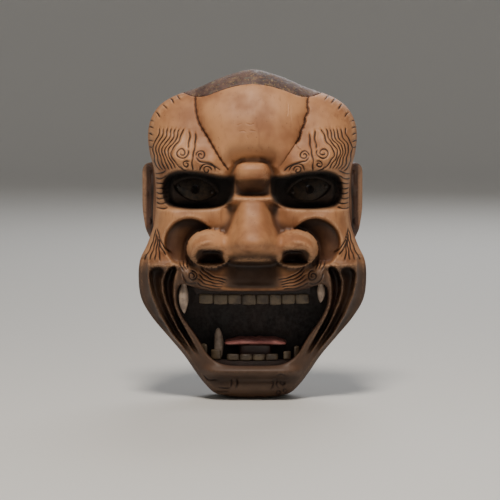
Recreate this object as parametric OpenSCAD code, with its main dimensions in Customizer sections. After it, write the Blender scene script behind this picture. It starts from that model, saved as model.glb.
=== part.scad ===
/* [Mask] */
// Height of the mask from chin to crown
mask_h = 217; // [212:1:222]
// Width of the mask across the cheek folds
mask_w = 150; // [146:1:154]
// Height of the nose tip above the back rim
mask_d = 90; // [88:1:93]
// Width of the flat back rim
rim_w = 9; // [8:0.5:10]
// Tilt of the carved features towards an eye a little above the mask
look_up = 5; // [4:0.5:6]

/* [Crown] */
// Depth by which the crown lies below the edge of the forehead
crown_step = 2; // [1:0.25:2.5]
// Gap left for the glue between joined pieces
glue_gap = 0.1; // [0.05:0.05:0.15]
// Radius of the pegs that hold the crown and the ears
peg_r = 1.5; // [1.25:0.25:1.75]

/* [Ears] */
// Height of an ear
ear_h = 54; // [51:1:56]
// Size of an ear from front to back
ear_d = 19; // [17:0.5:20]
// Distance that the back edge of an ear stands out
ear_out = 11; // [10:0.5:11.5]

/* [Eyes] */
// Distance of each pupil from the middle of the face
eye_x = 37; // [36:0.5:38]
// Length of an eye plate from corner to corner
eye_l = 28; // [26:0.5:29]
// Height of an eye plate at the pupil
eye_h = 14; // [12:0.5:15]
// Radius of the pupil hole
pupil_r = 3; // [2.5:0.25:3.25]
// Thickness of the copper sheet
plate_t = 1; // [0.8:0.1:1.2]

/* [Mouth] */
// Visible height of the upper teeth
tooth_h = 6.5; // [5.5:0.5:7.5]
// Length of the longer upper tusk
tusk_l = 21; // [19:1:23]
// Width of the tongue
tongue_w = 42; // [38:1:44]

/* [Cord holes] */
// Radius of each cord hole
cord_r = 2; // [1.75:0.25:2.25]
// Length of each cord hole
cord_wall = 9; // [8.5:0.25:9.5]

/* [Hidden] */
$fn = 48;

wood = [0.69, 0.49, 0.34];
dark_wood = [0.38, 0.28, 0.24];
gilt = [0.62, 0.47, 0.22];
iron = [0.20, 0.18, 0.17];
gum_red = [0.36, 0.13, 0.10];
ivory = [0.80, 0.74, 0.60];
tongue_pink = [0.70, 0.40, 0.38];
bamboo = [0.74, 0.60, 0.38];

// The carving is laid out for a mask of these sizes and stretched to the sizes asked for.
laid_out = [150, 217, 90];
kx = mask_w / laid_out[0];
kz = mask_h / laid_out[1];
ky = mask_d / laid_out[2];
lift = tan(look_up);

// Half outline from crown to chin, and half of the mouth opening, point for point. The face
// is ruled from each point of the mouth to the same point of the outline. Every point is
// [distance from the middle, height].
outline = [[0, 108.5], [13.5, 105.5], [24.5, 101.5], [34.5, 97], [44.5, 93.5], [54, 89.5],
           [61.5, 84], [66.5, 76], [68.5, 66], [67.5, 54], [64.5, 42], [63.5, 25], [64.5, 8],
           [69, -6], [74, -17], [75, -30], [73, -43], [66, -55], [56, -67], [45.5, -79.5],
           [37.5, -91], [31, -99.5], [24, -105.5], [12.5, -108], [0, -108.5]];
mouth = [[0, -37], [4, -37], [8, -37], [11.5, -37], [15, -37], [18.5, -37], [22, -37],
         [25, -37], [28, -36.7], [31.5, -36], [36, -35], [41, -33.4], [45.8, -32.4],
         [48.8, -35.5], [49.5, -41], [48.8, -47], [46, -53.5], [42.5, -59.2], [38, -65.4],
         [34, -71.6], [30, -78.4], [24.5, -83.4], [17.5, -86], [9, -86.5], [0, -86.5]];
last = len(outline) - 1;
side_f = 26;         // height above the rim of the widest line round the mask
side_lean = 2.5;     // how far the sides lean in from that line to the rim
saw_off = 2;         // stock below the rim that is sawn off flat
waist_x = 62;        // half width of the rim at the ears
crown_z = 106;       // half height of the rim
hollow_f = 46;       // height of the hollow above the rim at its deepest

function mix(a, b, t) = a + (b - a) * t;
function ramp(lo, hi, x) = let(t = min(1, max(0, (x - lo) / (hi - lo)))) t * t * (3 - 2 * t);
function flip(p) = [-p[0], p[1]];

// Catmull-Rom curve through a half outline that is mirrored at both ends.
function spline(pts, u) =
    let(i = min(floor(u), last - 1), t = u - i,
        p0 = i > 0 ? pts[i - 1] : flip(pts[1]), p1 = pts[i], p2 = pts[i + 1],
        p3 = i + 2 <= last ? pts[i + 2] : flip(pts[last - 1]))
    0.5 * (2 * p1 + (p2 - p0) * t + (2 * p0 - 5 * p1 + 4 * p2 - p3) * t * t
           + (3 * p1 - p0 - 3 * p2 + p3) * t * t * t);
function closed(pts, u) = u <= last ? spline(pts, u) : flip(spline(pts, 2 * last - u));

// Foot of the side below a point of the outline, and the inner edge of the rim there.
function foot(edge) = edge * (1 - side_lean / norm(edge));
function inner(edge) =
    let(p = foot(edge)) [p[0] * (1 - rim_w / waist_x), p[1] * (1 - rim_w / crown_z)];

// Distances from the middle to the outline and to the inner edge, by direction.
function direction(p) = atan2(abs(p[0]), p[1]);
half_line = [for (u = [0:0.25:last]) spline(outline, u)];
edge_radii = [for (p = half_line) [direction(p), norm(p)]];
inner_radii = [for (p = half_line) [direction(inner(p)), norm(inner(p))]];
function edge_radius(p) = lookup(direction(p), edge_radii);
function inner_radius(p) = lookup(direction(p), inner_radii);

// Rounded swellings on both halves of the face: one bell-shaped, one flat-topped.
function bump(p, c, r, h) =
    h * exp(-pow((abs(p[0]) - c[0]) / r[0], 2) - pow((p[1] - c[1]) / r[1], 2));
function pad(p, c, r, h) =
    h * exp(-pow((abs(p[0]) - c[0]) / r[0], 4) - pow((p[1] - c[1]) / r[1], 4));

// Height above the rim of the plain domed block, lower at the jaw than at the forehead.
jaw_f = 50;
forehead_f = 65;
function dome(p) =
    let(share = min(1, norm(p) / edge_radius(p)),
        middle = mix(jaw_f, forehead_f, ramp(-70, 30, p[1])))
    side_f + (middle - side_f) * sqrt(1 - pow(share, 3));

// The bridge of the nose widens and rises to the tip, then drops to the lip.
function nose(p) =
    let(z = p[1], wide = mix(9, 17, ramp(22, -8, z)),
        high = mix(8, 24, ramp(22, -4, z)) * ramp(27, 20, z) * ramp(-19, -11, z))
    high * exp(-pow(abs(p[0]) / wide, 3));

// Heights that the features add to the block.
function relief(p) =
    nose(p)
    + pad(p, [28, -8], [16, 11], 12)        // wings of the nose
    + pad(p, [0, 72], [32, 28], 4)          // forehead
    + bump(p, [0, 40], [11, 8], 6)          // knob between the brows
    + bump(p, [40, 48], [28, 8], 5)         // brows
    - pad(p, [37, 28], [23, 13], 16)        // eye sockets
    + bump(p, [37, 29], [19, 13], 9)        // eyeballs and lids
    + bump(p, [47, 6], [16, 8], 3)          // cheek bones
    - bump(p, [51, -8], [7, 11], 8)         // hollows beside the wings
    - pad(p, [61, -38], [4, 18], 7)         // outer cheek folds
    - pad(p, [53, -38], [3, 16], 6)         // inner cheek folds
    + bump(p, [34, -28], [16, 8], 3)        // moustache
    + bump(p, [0, -92], [36, 6], 5);        // lower lip

// A point in the mask's frame from its place [across, up] and its height above the rim.
function place(p, f) = [kx * p[0], -ky * f, kz * p[1] + ky * lift * f];
module placed(at = [0, 0, 0]) {
    translate(place([at[0], at[1]], at[2])) rotate([90, 0, 0]) children();
}

// Height of the hollow above the rim.
function hollow(p) =
    let(share = min(inner_edge, norm(p) / inner_radius(p)))
    hollow_f * sqrt(1 - pow(share, 3));

// One section: over the face from lip to edge, down the side, across the rim, up the
// hollow and forward through the wall of the mouth.
face_steps = 32;
side_steps = 3;
hollow_steps = 8;
mouth_steps = 2;
inner_edge = 0.985;  // the hollow's wall stands square to the rim up to this share
function section(u, drop) =
    let(lip = closed(mouth, u), edge = closed(outline, u), low = foot(edge), in = inner(edge),
        front = [for (i = [0:face_steps]) let(s = i / face_steps) s * (1.35 - 0.35 * s * s)])
    concat(
        [for (t = front) let(p = mix(lip, edge, t))
            place(p, t == 1 ? side_f - drop : dome(p) + relief(p) - drop)],
        [for (i = [1:side_steps]) let(t = i / side_steps)
            place(mix(edge, low, t), mix(side_f - drop, -saw_off, t))],
        [place(in, -saw_off)],
        [for (i = [0:hollow_steps]) let(t = 1 - cos(90 * i / hollow_steps), p = mix(in, lip, t))
            place(p, i == 0 ? 0 : hollow(p))],
        [for (i = [1:mouth_steps])
            place(lip, mix(hollow(lip), dome(lip) + relief(lip) - drop, i / (mouth_steps + 1)))]);

around = 100;        // sections round the mouth
module carved_block(drop = 0) {
    sections = [for (k = [0:around - 1]) section(2 * last * k / around, drop)];
    ring = len(sections[0]);
    intersection() {
        polyhedron(
            points = [for (s = sections) each s],
            faces = [for (k = [0:around - 1], i = [0:ring - 1])
                let(k2 = (k + 1) % around, i2 = (i + 1) % ring,
                    a = k * ring + i, b = k * ring + i2, c = k2 * ring + i2, d = k2 * ring + i)
                each [[a, b, c], [a, c, d]]],
            convexity = 12);
        translate([-mask_w, -2 * mask_d, -mask_h]) cube([2 * mask_w, 2 * mask_d, 2 * mask_h]);
    }
}

// Everything above the joint of the crown, with the joint lowered by a margin.
crown_joint = [[0, 97.5], [11, 96], [21, 93], [30, 89.8], [36, 89.5], [42, 91], [50, 96]];
module above_joint(margin) {
    half = [for (p = crown_joint) p - [0, margin]];
    left = [for (i = [len(half) - 1:-1:1]) flip(half[i])];
    multmatrix([[kx, 0, 0, 0], [0, 0, -ky, 0], [0, kz, ky * lift, 0]])
        translate([0, 0, -10]) linear_extrude(height = laid_out[2] + 20)
            polygon(concat([[-100, 96]], left, half, [[100, 96], [100, 200], [-100, 200]]));
}

// Upright pegs across the joint of the crown, in the thick of the wall.
crown_peg_at = [16, 94, 31];
crown_peg_l = 12;
module crown_peg_set(r, l) {
    for (s = [-1, 1])
        translate(place([s * crown_peg_at[0], crown_peg_at[1]], crown_peg_at[2]))
            cylinder(r = r, h = l, center = true);
}

// Flat seats in the sides, where the ears are glued on and the cord holes come out.
seat_x = 62;
seat_cut = 20;           // depth of stock cleared away outside a seat
ear_f = 13.5;            // middle of an ear above the rim
ear_z = 21;              // middle of an ear above the middle of the mask
function seat_point(side, z) = [side * seat_x, -ky * ear_f, kz * z + ky * lift * ear_f];
cord_z = 59;
boss_r = 6;
module side_seats() {
    for (s = [-1, 1]) {
        translate(seat_point(s, ear_z) + [s * seat_cut / 2, 0, 0])
            cube([seat_cut, ear_d + 2, ear_h + 2], center = true);
        translate(seat_point(s, cord_z)) rotate([0, s * 90, 0])
            cylinder(r = boss_r + 1, h = seat_cut);
    }
}

// A rod along a cord hole, from start to end measured inwards from the seat.
module cord_rod(side, r, start, end) {
    translate(seat_point(side, cord_z)) rotate([0, -side * 90, 0])
        translate([0, 0, start]) cylinder(r = r, h = end - start);
}

// Pegs of one ear: how far above and below its middle, and how deep in wall and ear.
ear_peg_z = [17, -17];
ear_peg_in = 5.5;
ear_peg_out = 1.8;
module ear_peg_set(side, r, slack) {
    for (z = ear_peg_z)
        translate(seat_point(side, ear_z) + [0, 0, z]) rotate([0, side * 90, 0])
            translate([0, 0, -ear_peg_in - slack])
                cylinder(r = r, h = ear_peg_in + ear_peg_out + 2 * slack);
}

// Ear seen from the side, before it is bowled out.
module ear_outline() {
    back_r = 8.5;
    lobe_r = 6;
    hull() {
        translate([0, ear_h / 2 - ear_d / 2]) circle(r = ear_d / 2);
        translate([ear_d / 2 - back_r, 0]) circle(r = back_r);
        translate([-ear_d / 2 + lobe_r, lobe_r - ear_h / 2]) circle(r = lobe_r);
    }
}

// Ear lying on its back: front edge to -X, top to +Y, outer face up.
module ear_blank() {
    front_out = 4;       // thickness at the edge beside the face
    floor_out = 2.6;     // thickness left under the bowl
    helix_w = 2.6;       // width of the rim round the bowl
    lobe_top = 13 - ear_h / 2;
    ridge_low = 3.5;     // how far the ridge lies below the rim
    ridge_r = ear_d / 2 - 3.2;
    ridge_w = 1.5;
    intersection() {
        union() {
            difference() {
                linear_extrude(height = ear_out) ear_outline();
                translate([0, 0, floor_out]) linear_extrude(height = ear_out) intersection() {
                    offset(delta = -helix_w) ear_outline();
                    translate([-ear_d, lobe_top]) square([2 * ear_d, ear_h]);
                }
            }
            // Ridge that curls down inside the bowl.
            linear_extrude(height = ear_out - ridge_low) intersection() {
                translate([-2, 4]) difference() {
                    circle(r = ridge_r);
                    translate([-ridge_w, 0]) circle(r = ridge_r - ridge_w);
                }
                offset(delta = -helix_w + 0.1) ear_outline();
            }
        }
        rotate([90, 0, 0]) linear_extrude(height = ear_h + 10, center = true)
            polygon([[-ear_d / 2, -1], [ear_d / 2, -1], [ear_d / 2, ear_out],
                     [-ear_d / 2, front_out]]);
    }
}
module ear(side) {
    seat = seat_point(side, ear_z);
    color(wood) difference() {
        multmatrix([[0, 0, side, seat[0] + side * glue_gap], [1, 0, 0, seat[1]],
                    [0, 1, 0, seat[2]]]) ear_blank();
        ear_peg_set(side, peg_r + 0.05, 0.3);
    }
}

// Eyes: an almond cut from a domed copper sheet, let into the lids with its corners on wood.
eye_z = 29;
eye_front = 51;          // height of the top of the dome above the rim
eye_dome = 24;           // outer radius of the domed sheet
eye_slant = 10;          // fall of the inner corner in degrees
lid_gap = 0.3;
module at_eye(side) {
    translate(place([side * eye_x, eye_z], eye_front) + [0, eye_dome, 0])
        rotate([90, 0, 0]) rotate([0, 0, side * eye_slant]) children();
}
module almond(margin, low) {
    half_l = eye_l / 2;
    half_h = eye_h / 2;
    arc_r = (half_l * half_l + half_h * half_h) / (2 * half_h);
    translate([0, 0, low]) linear_extrude(height = eye_dome)
        intersection_for(s = [-1, 1])
            translate([0, s * (arc_r - half_h)]) circle(r = arc_r + margin, $fn = 96);
}
function corner_height(r) = sqrt(r * r - eye_l * eye_l / 4);
module sight_hole(r) {
    cylinder(r = r, h = 3 * eye_dome, center = true);
}
// The bore through the wood is narrower and rises steeply into the hollow.
sight_rise = 36;
sight_bore_r = 2.25;
sight_bore_l = 80;
module sight_bore() {
    translate([0, 0, eye_dome - plate_t]) rotate([sight_rise, 0, 0])
        cylinder(r = sight_bore_r, h = sight_bore_l, center = true);
}

// Round-headed nails through the two corners of an eye plate.
nail_r = 0.6;
nail_head_r = 1.2;
nail_l = 6;
nail_at = 0.78;          // place of a nail as a share of the plate's half length
module at_nails() {
    turn = asin(nail_at * eye_l / 2 / eye_dome);
    for (s = [-1, 1]) rotate([0, s * turn, 0]) translate([0, 0, eye_dome]) children();
}
module nail_bore() {
    at_nails() translate([0, 0, -nail_l - 0.5]) cylinder(r = nail_r + 0.05, h = nail_l + 2);
}

module eye_plate(side) {
    color(gilt) at_eye(side) difference() {
        intersection() {
            sphere(r = eye_dome, $fn = 96);
            almond(0, 1);
        }
        sphere(r = eye_dome - plate_t, $fn = 96);
        sight_hole(pupil_r);
        nail_bore();
    }
}
module eye_nails(side) {
    color(iron) at_eye(side) at_nails() {
        translate([0, 0, -nail_l]) cylinder(r = nail_r, h = nail_l + 0.3);
        translate([0, 0, 0.15]) intersection() {
            sphere(r = nail_head_r);
            cylinder(r = nail_head_r, h = nail_head_r);
        }
    }
}
module eye_cut() {
    almond(lid_gap, corner_height(eye_dome - plate_t) - glue_gap);
    sight_bore();
    nail_bore();
}

// Nostrils, pierced up and back into the hollow.
nostril_at = [26, -17, 66];
nostril_r = 4;
nostril_l = 60;
nostril_rise = 75;       // steepness of a nostril in degrees
module nostrils() {
    for (s = [-1, 1])
        translate(place([s * nostril_at[0], nostril_at[1]], nostril_at[2]))
            rotate([-nostril_rise, 0, 0]) cylinder(r = nostril_r, h = nostril_l, center = true);
}

// A rounded block seen from the front, from [x0, z0] to [x1, z1], bent to a dental arch of
// radius arch_r whose front stands at front_f in the middle.
module arch_block(x0, x1, z0, z1, front_f, thick, arch_r) {
    round_r = 1.6;
    gap = 0.15;
    low = kz * z0 + ky * lift * front_f;
    high = kz * z1 + ky * lift * front_f;
    intersection() {
        translate([0, arch_r - ky * front_f, low - 1]) difference() {
            cylinder(r = arch_r, h = high - low + 2, $fn = 200);
            translate([0, 0, -1]) cylinder(r = arch_r - thick, h = high - low + 4, $fn = 200);
        }
        rotate([90, 0, 0]) linear_extrude(height = mask_d) offset(r = round_r, $fn = 32)
            translate([kx * x0 + round_r + gap, low + round_r])
                square([kx * (x1 - x0) - 2 * (round_r + gap), high - low - 2 * round_r]);
    }
}

upper_front = 49;
upper_arch_r = 150;
upper_half_w = 38;       // half width of the upper gum
upper_gum_z = -39.5;     // lower edge of the upper gum
upper_gum_top = -29;
upper_edges = [-35, -25.5, -16, -7, 2.5, 11, 19, 28, 37];
gum_t = 7;
gum_back = 1;            // how far a gum stands behind the front of its teeth
tooth_t = 5;
module upper_gum_bar(grow) {
    arch_block(-upper_half_w - grow, upper_half_w + grow, upper_gum_z - grow,
               upper_gum_top + grow, upper_front - gum_back + grow, gum_t + 2 * grow,
               upper_arch_r + grow);
}
module upper_teeth() {
    top = upper_gum_z - glue_gap;
    color(ivory) for (i = [0:len(upper_edges) - 2])
        arch_block(upper_edges[i], upper_edges[i + 1], top - tooth_h, top, upper_front,
                   tooth_t, upper_arch_r);
}

lower_front = 41;
lower_arch_r = 60;
lower_half_w = 36;       // half width of the lower gum
lower_gum_z = -83.5;     // upper edge of the lower gum
lower_gum_low = -90.5;
// Lower teeth, each [left edge, right edge, top].
lower_row = [[-34, -29.5, -73], [-27.5, -20.5, -76.5], [-17, -8.5, -79], [-8.5, 0, -79],
             [0, 8.5, -79], [8.5, 17, -79], [20, 25.5, -77.5], [27, 31, -74.5], [32, 36, -75]];
module lower_gum() {
    color(gum_red) arch_block(-lower_half_w, lower_half_w, lower_gum_low, lower_gum_z,
                              lower_front - gum_back, gum_t, lower_arch_r);
}
// Channel in the jaw for the lower gum and its teeth, whose ends run into the cheeks.
lower_channel_z = -72.5;
module lower_channel() {
    arch_block(-lower_half_w - glue_gap, lower_half_w + glue_gap, lower_gum_low - glue_gap,
               lower_channel_z, lower_front + glue_gap, gum_back + gum_t + 2 * glue_gap,
               lower_arch_r + glue_gap);
}
module lower_teeth() {
    color(ivory) for (t = lower_row)
        arch_block(t[0], t[1], lower_gum_z + glue_gap, t[2], lower_front, tooth_t,
                   lower_arch_r);
}

// Spindle hanging down from its upper point, sawn off flat at both given heights.
module spindle(l, r, low, high) {
    arc_r = (l * l / 4 + r * r) / (2 * r);
    rotate_extrude() intersection() {
        translate([r - arc_r, -l / 2]) circle(r = arc_r, $fn = 160);
        translate([0, low]) square([r, high - low]);
    }
}
// Tusks on round roots. Each root is given by its two ends, from the tusk's upper point.
tusk_root_r = 1.8;
module tusk_root(ends, grow) {
    translate([0, 0, ends[0] - grow])
        cylinder(r = tusk_root_r + grow, h = ends[1] - ends[0] + 2 * grow);
}
module tusk(size, root, low, high) {
    color(ivory) {
        spindle(size[0], size[1], low, high);
        tusk_root(root, 0);
    }
}

// Upper tusks, let into the lip: the one on the viewer's left is longer.
upper_tusk_at = [44.5, -31, 44];
upper_root = [-5, 6];
tusk_saw = 2.5;          // sawn end of the upper tusks below their upper point
function upper_tusk_size(side) = side < 0 ? [tusk_l, 3.2] : [tusk_l - 7, 2.6];
module at_upper_tusk(side) {
    translate(place([side * upper_tusk_at[0], upper_tusk_at[1]], upper_tusk_at[2])) children();
}

// The one tall lower tusk, let into the jaw.
lower_tusk_at = [-22.7, -62, 24.5];
lower_tusk_size = [22.5, 3.2];
lower_tusk_saw = -19;    // sawn end, where the root begins
lower_root = [-28, -17];
module at_lower_tusk() {
    translate(place([lower_tusk_at[0], lower_tusk_at[1]], lower_tusk_at[2])) children();
}

// Tongue: an arched slab on a root that is let into the jaw.
tongue_x = 2;
tongue_f = [9.1, 33];    // back and front
tongue_z = -70.5;        // middle of the slab's upper face, before rounding
tongue_t = 4;            // height of the slab's flat sides, before rounding
tongue_round = 2;
tongue_arc_r = 120;
root_w = 22;
root_f = [24, 31.5];
root_z = [-90, -73];
module tongue_body(grow) {
    translate([kx * tongue_x, 0, ky * lift * tongue_f[1]]) rotate([90, 0, 0]) {
        translate([0, 0, ky * tongue_f[0] - grow])
            linear_extrude(height = ky * (tongue_f[1] - tongue_f[0]) + 2 * grow)
                offset(r = tongue_round + grow, $fn = 32) intersection() {
                    translate([0, kz * tongue_z - tongue_arc_r])
                        circle(r = tongue_arc_r, $fn = 240);
                    translate([tongue_round - tongue_w / 2, kz * tongue_z - tongue_t / 2])
                        square([tongue_w - 2 * tongue_round, tongue_t]);
                }
        translate([-root_w / 2 - grow, kz * root_z[0] - grow, ky * root_f[0] - grow])
            cube([root_w + 2 * grow, kz * (root_z[1] - root_z[0]) + grow,
                  ky * (root_f[1] - root_f[0]) + 2 * grow]);
    }
}

// Thin board that closes the hollow behind the mouth, a little smaller than the hollow.
throat_f = [6, 9];       // back and front
throat_top = -29;
throat_share = 0.982;    // its edge as a share of the hollow's inner edge
module throat_plate() {
    half = [for (p = half_line) if (inner(p)[1] < throat_top) inner(p) * throat_share];
    left = [for (i = [len(half) - 2:-1:0]) flip(half[i])];
    color(dark_wood) translate([0, 0, ky * lift * throat_f[1]]) rotate([90, 0, 0])
        translate([0, 0, ky * throat_f[0]])
            linear_extrude(height = ky * (throat_f[1] - throat_f[0]))
                polygon([for (p = concat(half, left)) [kx * p[0], kz * p[1]]]);
}

module face_shell() {
    color(wood) difference() {
        union() {
            carved_block();
            for (s = [-1, 1]) cord_rod(s, boss_r, 0, cord_wall);
        }
        above_joint(glue_gap);
        crown_peg_set(peg_r + 0.05, crown_peg_l + 0.6);
        side_seats();
        for (s = [-1, 1]) {
            cord_rod(s, cord_r, -5, cord_wall + 5);
            ear_peg_set(s, peg_r + 0.05, 0.3);
            at_eye(s) eye_cut();
            at_upper_tusk(s) tusk_root(upper_root, glue_gap);
        }
        nostrils();
        upper_gum_bar(glue_gap);
        lower_channel();
        at_lower_tusk() tusk_root(lower_root, glue_gap);
        tongue_body(glue_gap);
    }
}
module crown_block() {
    color(dark_wood) difference() {
        intersection() {
            carved_block(crown_step);
            above_joint(0);
        }
        crown_peg_set(peg_r + 0.05, crown_peg_l + 0.6);
    }
}
module crown_pegs() {
    color(bamboo) crown_peg_set(peg_r, crown_peg_l);
}
module ear_pegs(side) {
    color(bamboo) ear_peg_set(side, peg_r, 0);
}
module upper_gum() {
    color(gum_red) upper_gum_bar(0);
}
module upper_tusk(side) {
    size = upper_tusk_size(side);
    at_upper_tusk(side) tusk(size, upper_root, -size[0], -tusk_saw);
}
module lower_tusk() {
    at_lower_tusk() tusk(lower_tusk_size, lower_root, lower_tusk_saw, 0);
}
module tongue() {
    color(tongue_pink) tongue_body(0);
}

face_shell();
crown_block();
crown_pegs();
ear(-1);  // left_ear
ear(1);  // right_ear
ear_pegs(-1);  // left_ear_pegs
ear_pegs(1);  // right_ear_pegs
eye_plate(-1);  // left_eye_plate
eye_plate(1);  // right_eye_plate
eye_nails(-1);  // left_eye_nails
eye_nails(1);  // right_eye_nails
upper_gum();
upper_teeth();
upper_tusk(-1);  // left_upper_tusk
upper_tusk(1);  // right_upper_tusk
lower_gum();
lower_teeth();
lower_tusk();
tongue();
throat_plate();
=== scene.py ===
import math
import bmesh
import bpy
import numpy as np
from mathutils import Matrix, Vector, kdtree


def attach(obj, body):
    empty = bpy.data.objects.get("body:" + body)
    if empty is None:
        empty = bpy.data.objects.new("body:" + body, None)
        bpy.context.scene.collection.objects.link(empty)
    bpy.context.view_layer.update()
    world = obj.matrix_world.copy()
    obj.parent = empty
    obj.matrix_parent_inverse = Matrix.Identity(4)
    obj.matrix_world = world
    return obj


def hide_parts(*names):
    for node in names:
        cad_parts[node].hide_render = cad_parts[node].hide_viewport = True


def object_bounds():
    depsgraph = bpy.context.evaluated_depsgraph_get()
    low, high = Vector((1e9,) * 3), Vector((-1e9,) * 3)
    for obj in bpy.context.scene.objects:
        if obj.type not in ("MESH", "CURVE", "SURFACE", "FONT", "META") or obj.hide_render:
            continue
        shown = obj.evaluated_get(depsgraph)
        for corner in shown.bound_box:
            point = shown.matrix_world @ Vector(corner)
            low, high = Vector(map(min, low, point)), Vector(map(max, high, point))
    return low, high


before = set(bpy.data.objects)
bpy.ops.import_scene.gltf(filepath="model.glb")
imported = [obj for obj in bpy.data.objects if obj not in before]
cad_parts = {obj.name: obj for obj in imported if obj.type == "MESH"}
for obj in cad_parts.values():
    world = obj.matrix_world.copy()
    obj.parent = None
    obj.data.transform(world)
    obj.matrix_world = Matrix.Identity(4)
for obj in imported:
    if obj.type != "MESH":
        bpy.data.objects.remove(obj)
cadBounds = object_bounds()

mm = 0.001
lift = math.tan(math.radians(5))   # the carving looks up by this slope
rng = np.random.default_rng(7)


# Camera, floor and light
view = {"turn": 0, "rise": 5, "distance": 2.0, "width": 0.325, "aim": (-1.6, 50, -10.4)}


def placed(a, b, f):
    # metres from millimetres: x = a, y = -f, z = b + lift * f
    return np.stack([a * mm, -f * mm, (b + lift * f) * mm], axis=-1)


def aimAt(obj, place, target):
    obj.location = place
    obj.rotation_euler = (Vector(target) - Vector(place)).to_track_quat("-Z", "Y").to_euler()


camera = bpy.data.objects.new("camera", bpy.data.cameras.new("camera"))
bpy.context.collection.objects.link(camera)
bpy.context.scene.camera = camera
target = placed(np.array(view["aim"][0]), np.array(view["aim"][2]), np.array(view["aim"][1]))
turn, rise = math.radians(view["turn"]), math.radians(view["rise"])
away = np.array([math.sin(turn) * math.cos(rise), -math.cos(turn) * math.cos(rise),
                 math.sin(rise)])
aimAt(camera, target + away * view["distance"], target)
camera.data.sensor_width = 36
camera.data.lens = 36 * view["distance"] / view["width"]
camera.data.clip_end = 20
print("camera placed")


def areaLight(name, place, size, power, colour):
    light = bpy.data.objects.new(name, bpy.data.lights.new(name, "AREA"))
    light.data.shape, light.data.size, light.data.energy = "DISK", size, power
    light.data.color = colour
    bpy.context.collection.objects.link(light)
    aimAt(light, place, (0, -0.04, 0.01))


areaLight("key", (-0.06, -0.78, 1.25), 0.42, 24, (1.0, 0.93, 0.84))
areaLight("fill", (0.5, -1.6, 0.35), 1.2, 1.6, (1.0, 0.97, 0.94))
areaLight("back", (0.3, 1.3, 0.9), 1.0, 9, (0.95, 0.97, 1.0))
print("lights placed")


# Materials
def srgb(code, alpha=1.0):
    # hex colour to linear light
    parts = [int(code[i:i + 2], 16) / 255 for i in (1, 3, 5)]
    linear = [c / 12.92 if c <= 0.04045 else ((c + 0.055) / 1.055) ** 2.4 for c in parts]
    return (*linear, alpha)


def addNode(tree, kind, links=None, **settings):
    # one node: settings named after sockets (spaces as _) or node properties, links by socket
    node = tree.nodes.new("ShaderNode" + kind)
    for key, value in settings.items():
        socket = node.inputs.get(key.replace("_", " "))
        if hasattr(node, key) and key not in ("inputs", "outputs"):
            setattr(node, key, value)
        elif socket is not None:
            socket.default_value = value
        else:
            raise KeyError(kind + ": " + key)
    for name, source in (links or {}).items():
        tree.links.new(source, node.inputs[name])
    return node


def newMaterial(name, **settings):
    mat = bpy.data.materials.new(name)
    mat.use_nodes = True
    tree = mat.node_tree
    tree.nodes.clear()
    shader = addNode(tree, "BsdfPrincipled", **settings)
    addNode(tree, "OutputMaterial", {"Surface": shader.outputs[0]})
    return mat, tree, shader


def mixColour(tree, factor, first, second):
    node = tree.nodes.new("ShaderNodeMix")
    node.data_type = "RGBA"
    for socket, value in ((0, factor), (6, first), (7, second)):
        if isinstance(value, str):
            value = srgb(value)
        if isinstance(value, (int, float, tuple)):
            node.inputs[socket].default_value = value
        else:
            tree.links.new(value, node.inputs[socket])
    return node.outputs[2]


def rampOf(tree, source, low, high, first=0.0, last=1.0):
    node = addNode(tree, "MapRange", {"Value": source}, From_Min=low, From_Max=high,
                   To_Min=first, To_Max=last)
    node.interpolation_type = "SMOOTHSTEP"
    return node.outputs[0]


# The carving's layout
# Everything below is laid out in millimetres: a across, b up, f forward of the flat back rim.
outline = np.array([
    [0, 108.5], [13.5, 105.5], [24.5, 101.5], [34.5, 97], [44.5, 93.5], [54, 89.5], [61.5, 84],
    [66.5, 76], [68.5, 66], [67.5, 54], [64.5, 42], [63.5, 25], [64.5, 8], [69, -6], [74, -17],
    [75, -30], [73, -43], [66, -55], [56, -67], [45.5, -79.5], [37.5, -91], [31, -99.5],
    [24, -105.5], [12.5, -108], [0, -108.5]])
mouthLine = np.array([
    [0, -37], [4, -37], [8, -37], [11.5, -37], [15, -37], [18.5, -37], [22, -37], [25, -37],
    [28, -36.7], [31.5, -36], [36, -35], [41, -33.4], [45.8, -32.4], [48.8, -35.5], [49.5, -41],
    [48.8, -47], [46, -53.5], [42.5, -59.2], [38, -65.4], [34, -71.6], [30, -78.4],
    [24.5, -83.4], [17.5, -86], [9, -86.5], [0, -86.5]])
lastPoint = len(outline) - 1
sideHeight, sideLean, rimWidth, hollowHeight = 26, 2.5, 9, 46


def mix(first, second, share):
    # first at share 0, second at share 1
    return first + (second - first) * share


def ramp(low, high, x):
    # 0 up to low, 1 from high on, three squares less two cubes of the way between
    t = np.clip((x - low) / (high - low), 0, 1)
    return t * t * (3 - 2 * t)


def hump(x, width):
    # soft swelling round x = 0: e to the power of minus the square of x over width
    return np.exp(-(x / width) ** 2)


def bell(a, b, centre, size):
    # soft round swelling of height 1: a hump along a times a hump along b
    return np.exp(-((a - centre[0]) / size[0]) ** 2 - ((b - centre[1]) / size[1]) ** 2)


def block(a, b, centre, size, power=4):
    # flat-topped swelling: as the bell, with a higher power in place of the square
    return np.exp(-np.abs((a - centre[0]) / size[0]) ** power
                  - np.abs((b - centre[1]) / size[1]) ** power)


def softMax(first, second, blend):
    # the higher of two surfaces, with a fillet of the given size where they meet
    gap = np.abs(first - second)
    return np.maximum(first, second) + blend * np.clip(1 - gap / (2 * blend), 0, 1) ** 2 / 2


def catmull(p0, p1, p2, p3, t):
    # Catmull-Rom cubic from p1 to p2
    return 0.5 * (2 * p1 + (p2 - p0) * t + (2 * p0 - 5 * p1 + 4 * p2 - p3) * t ** 2
                  + (3 * p1 - p0 - 3 * p2 + p3) * t ** 3)


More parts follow.
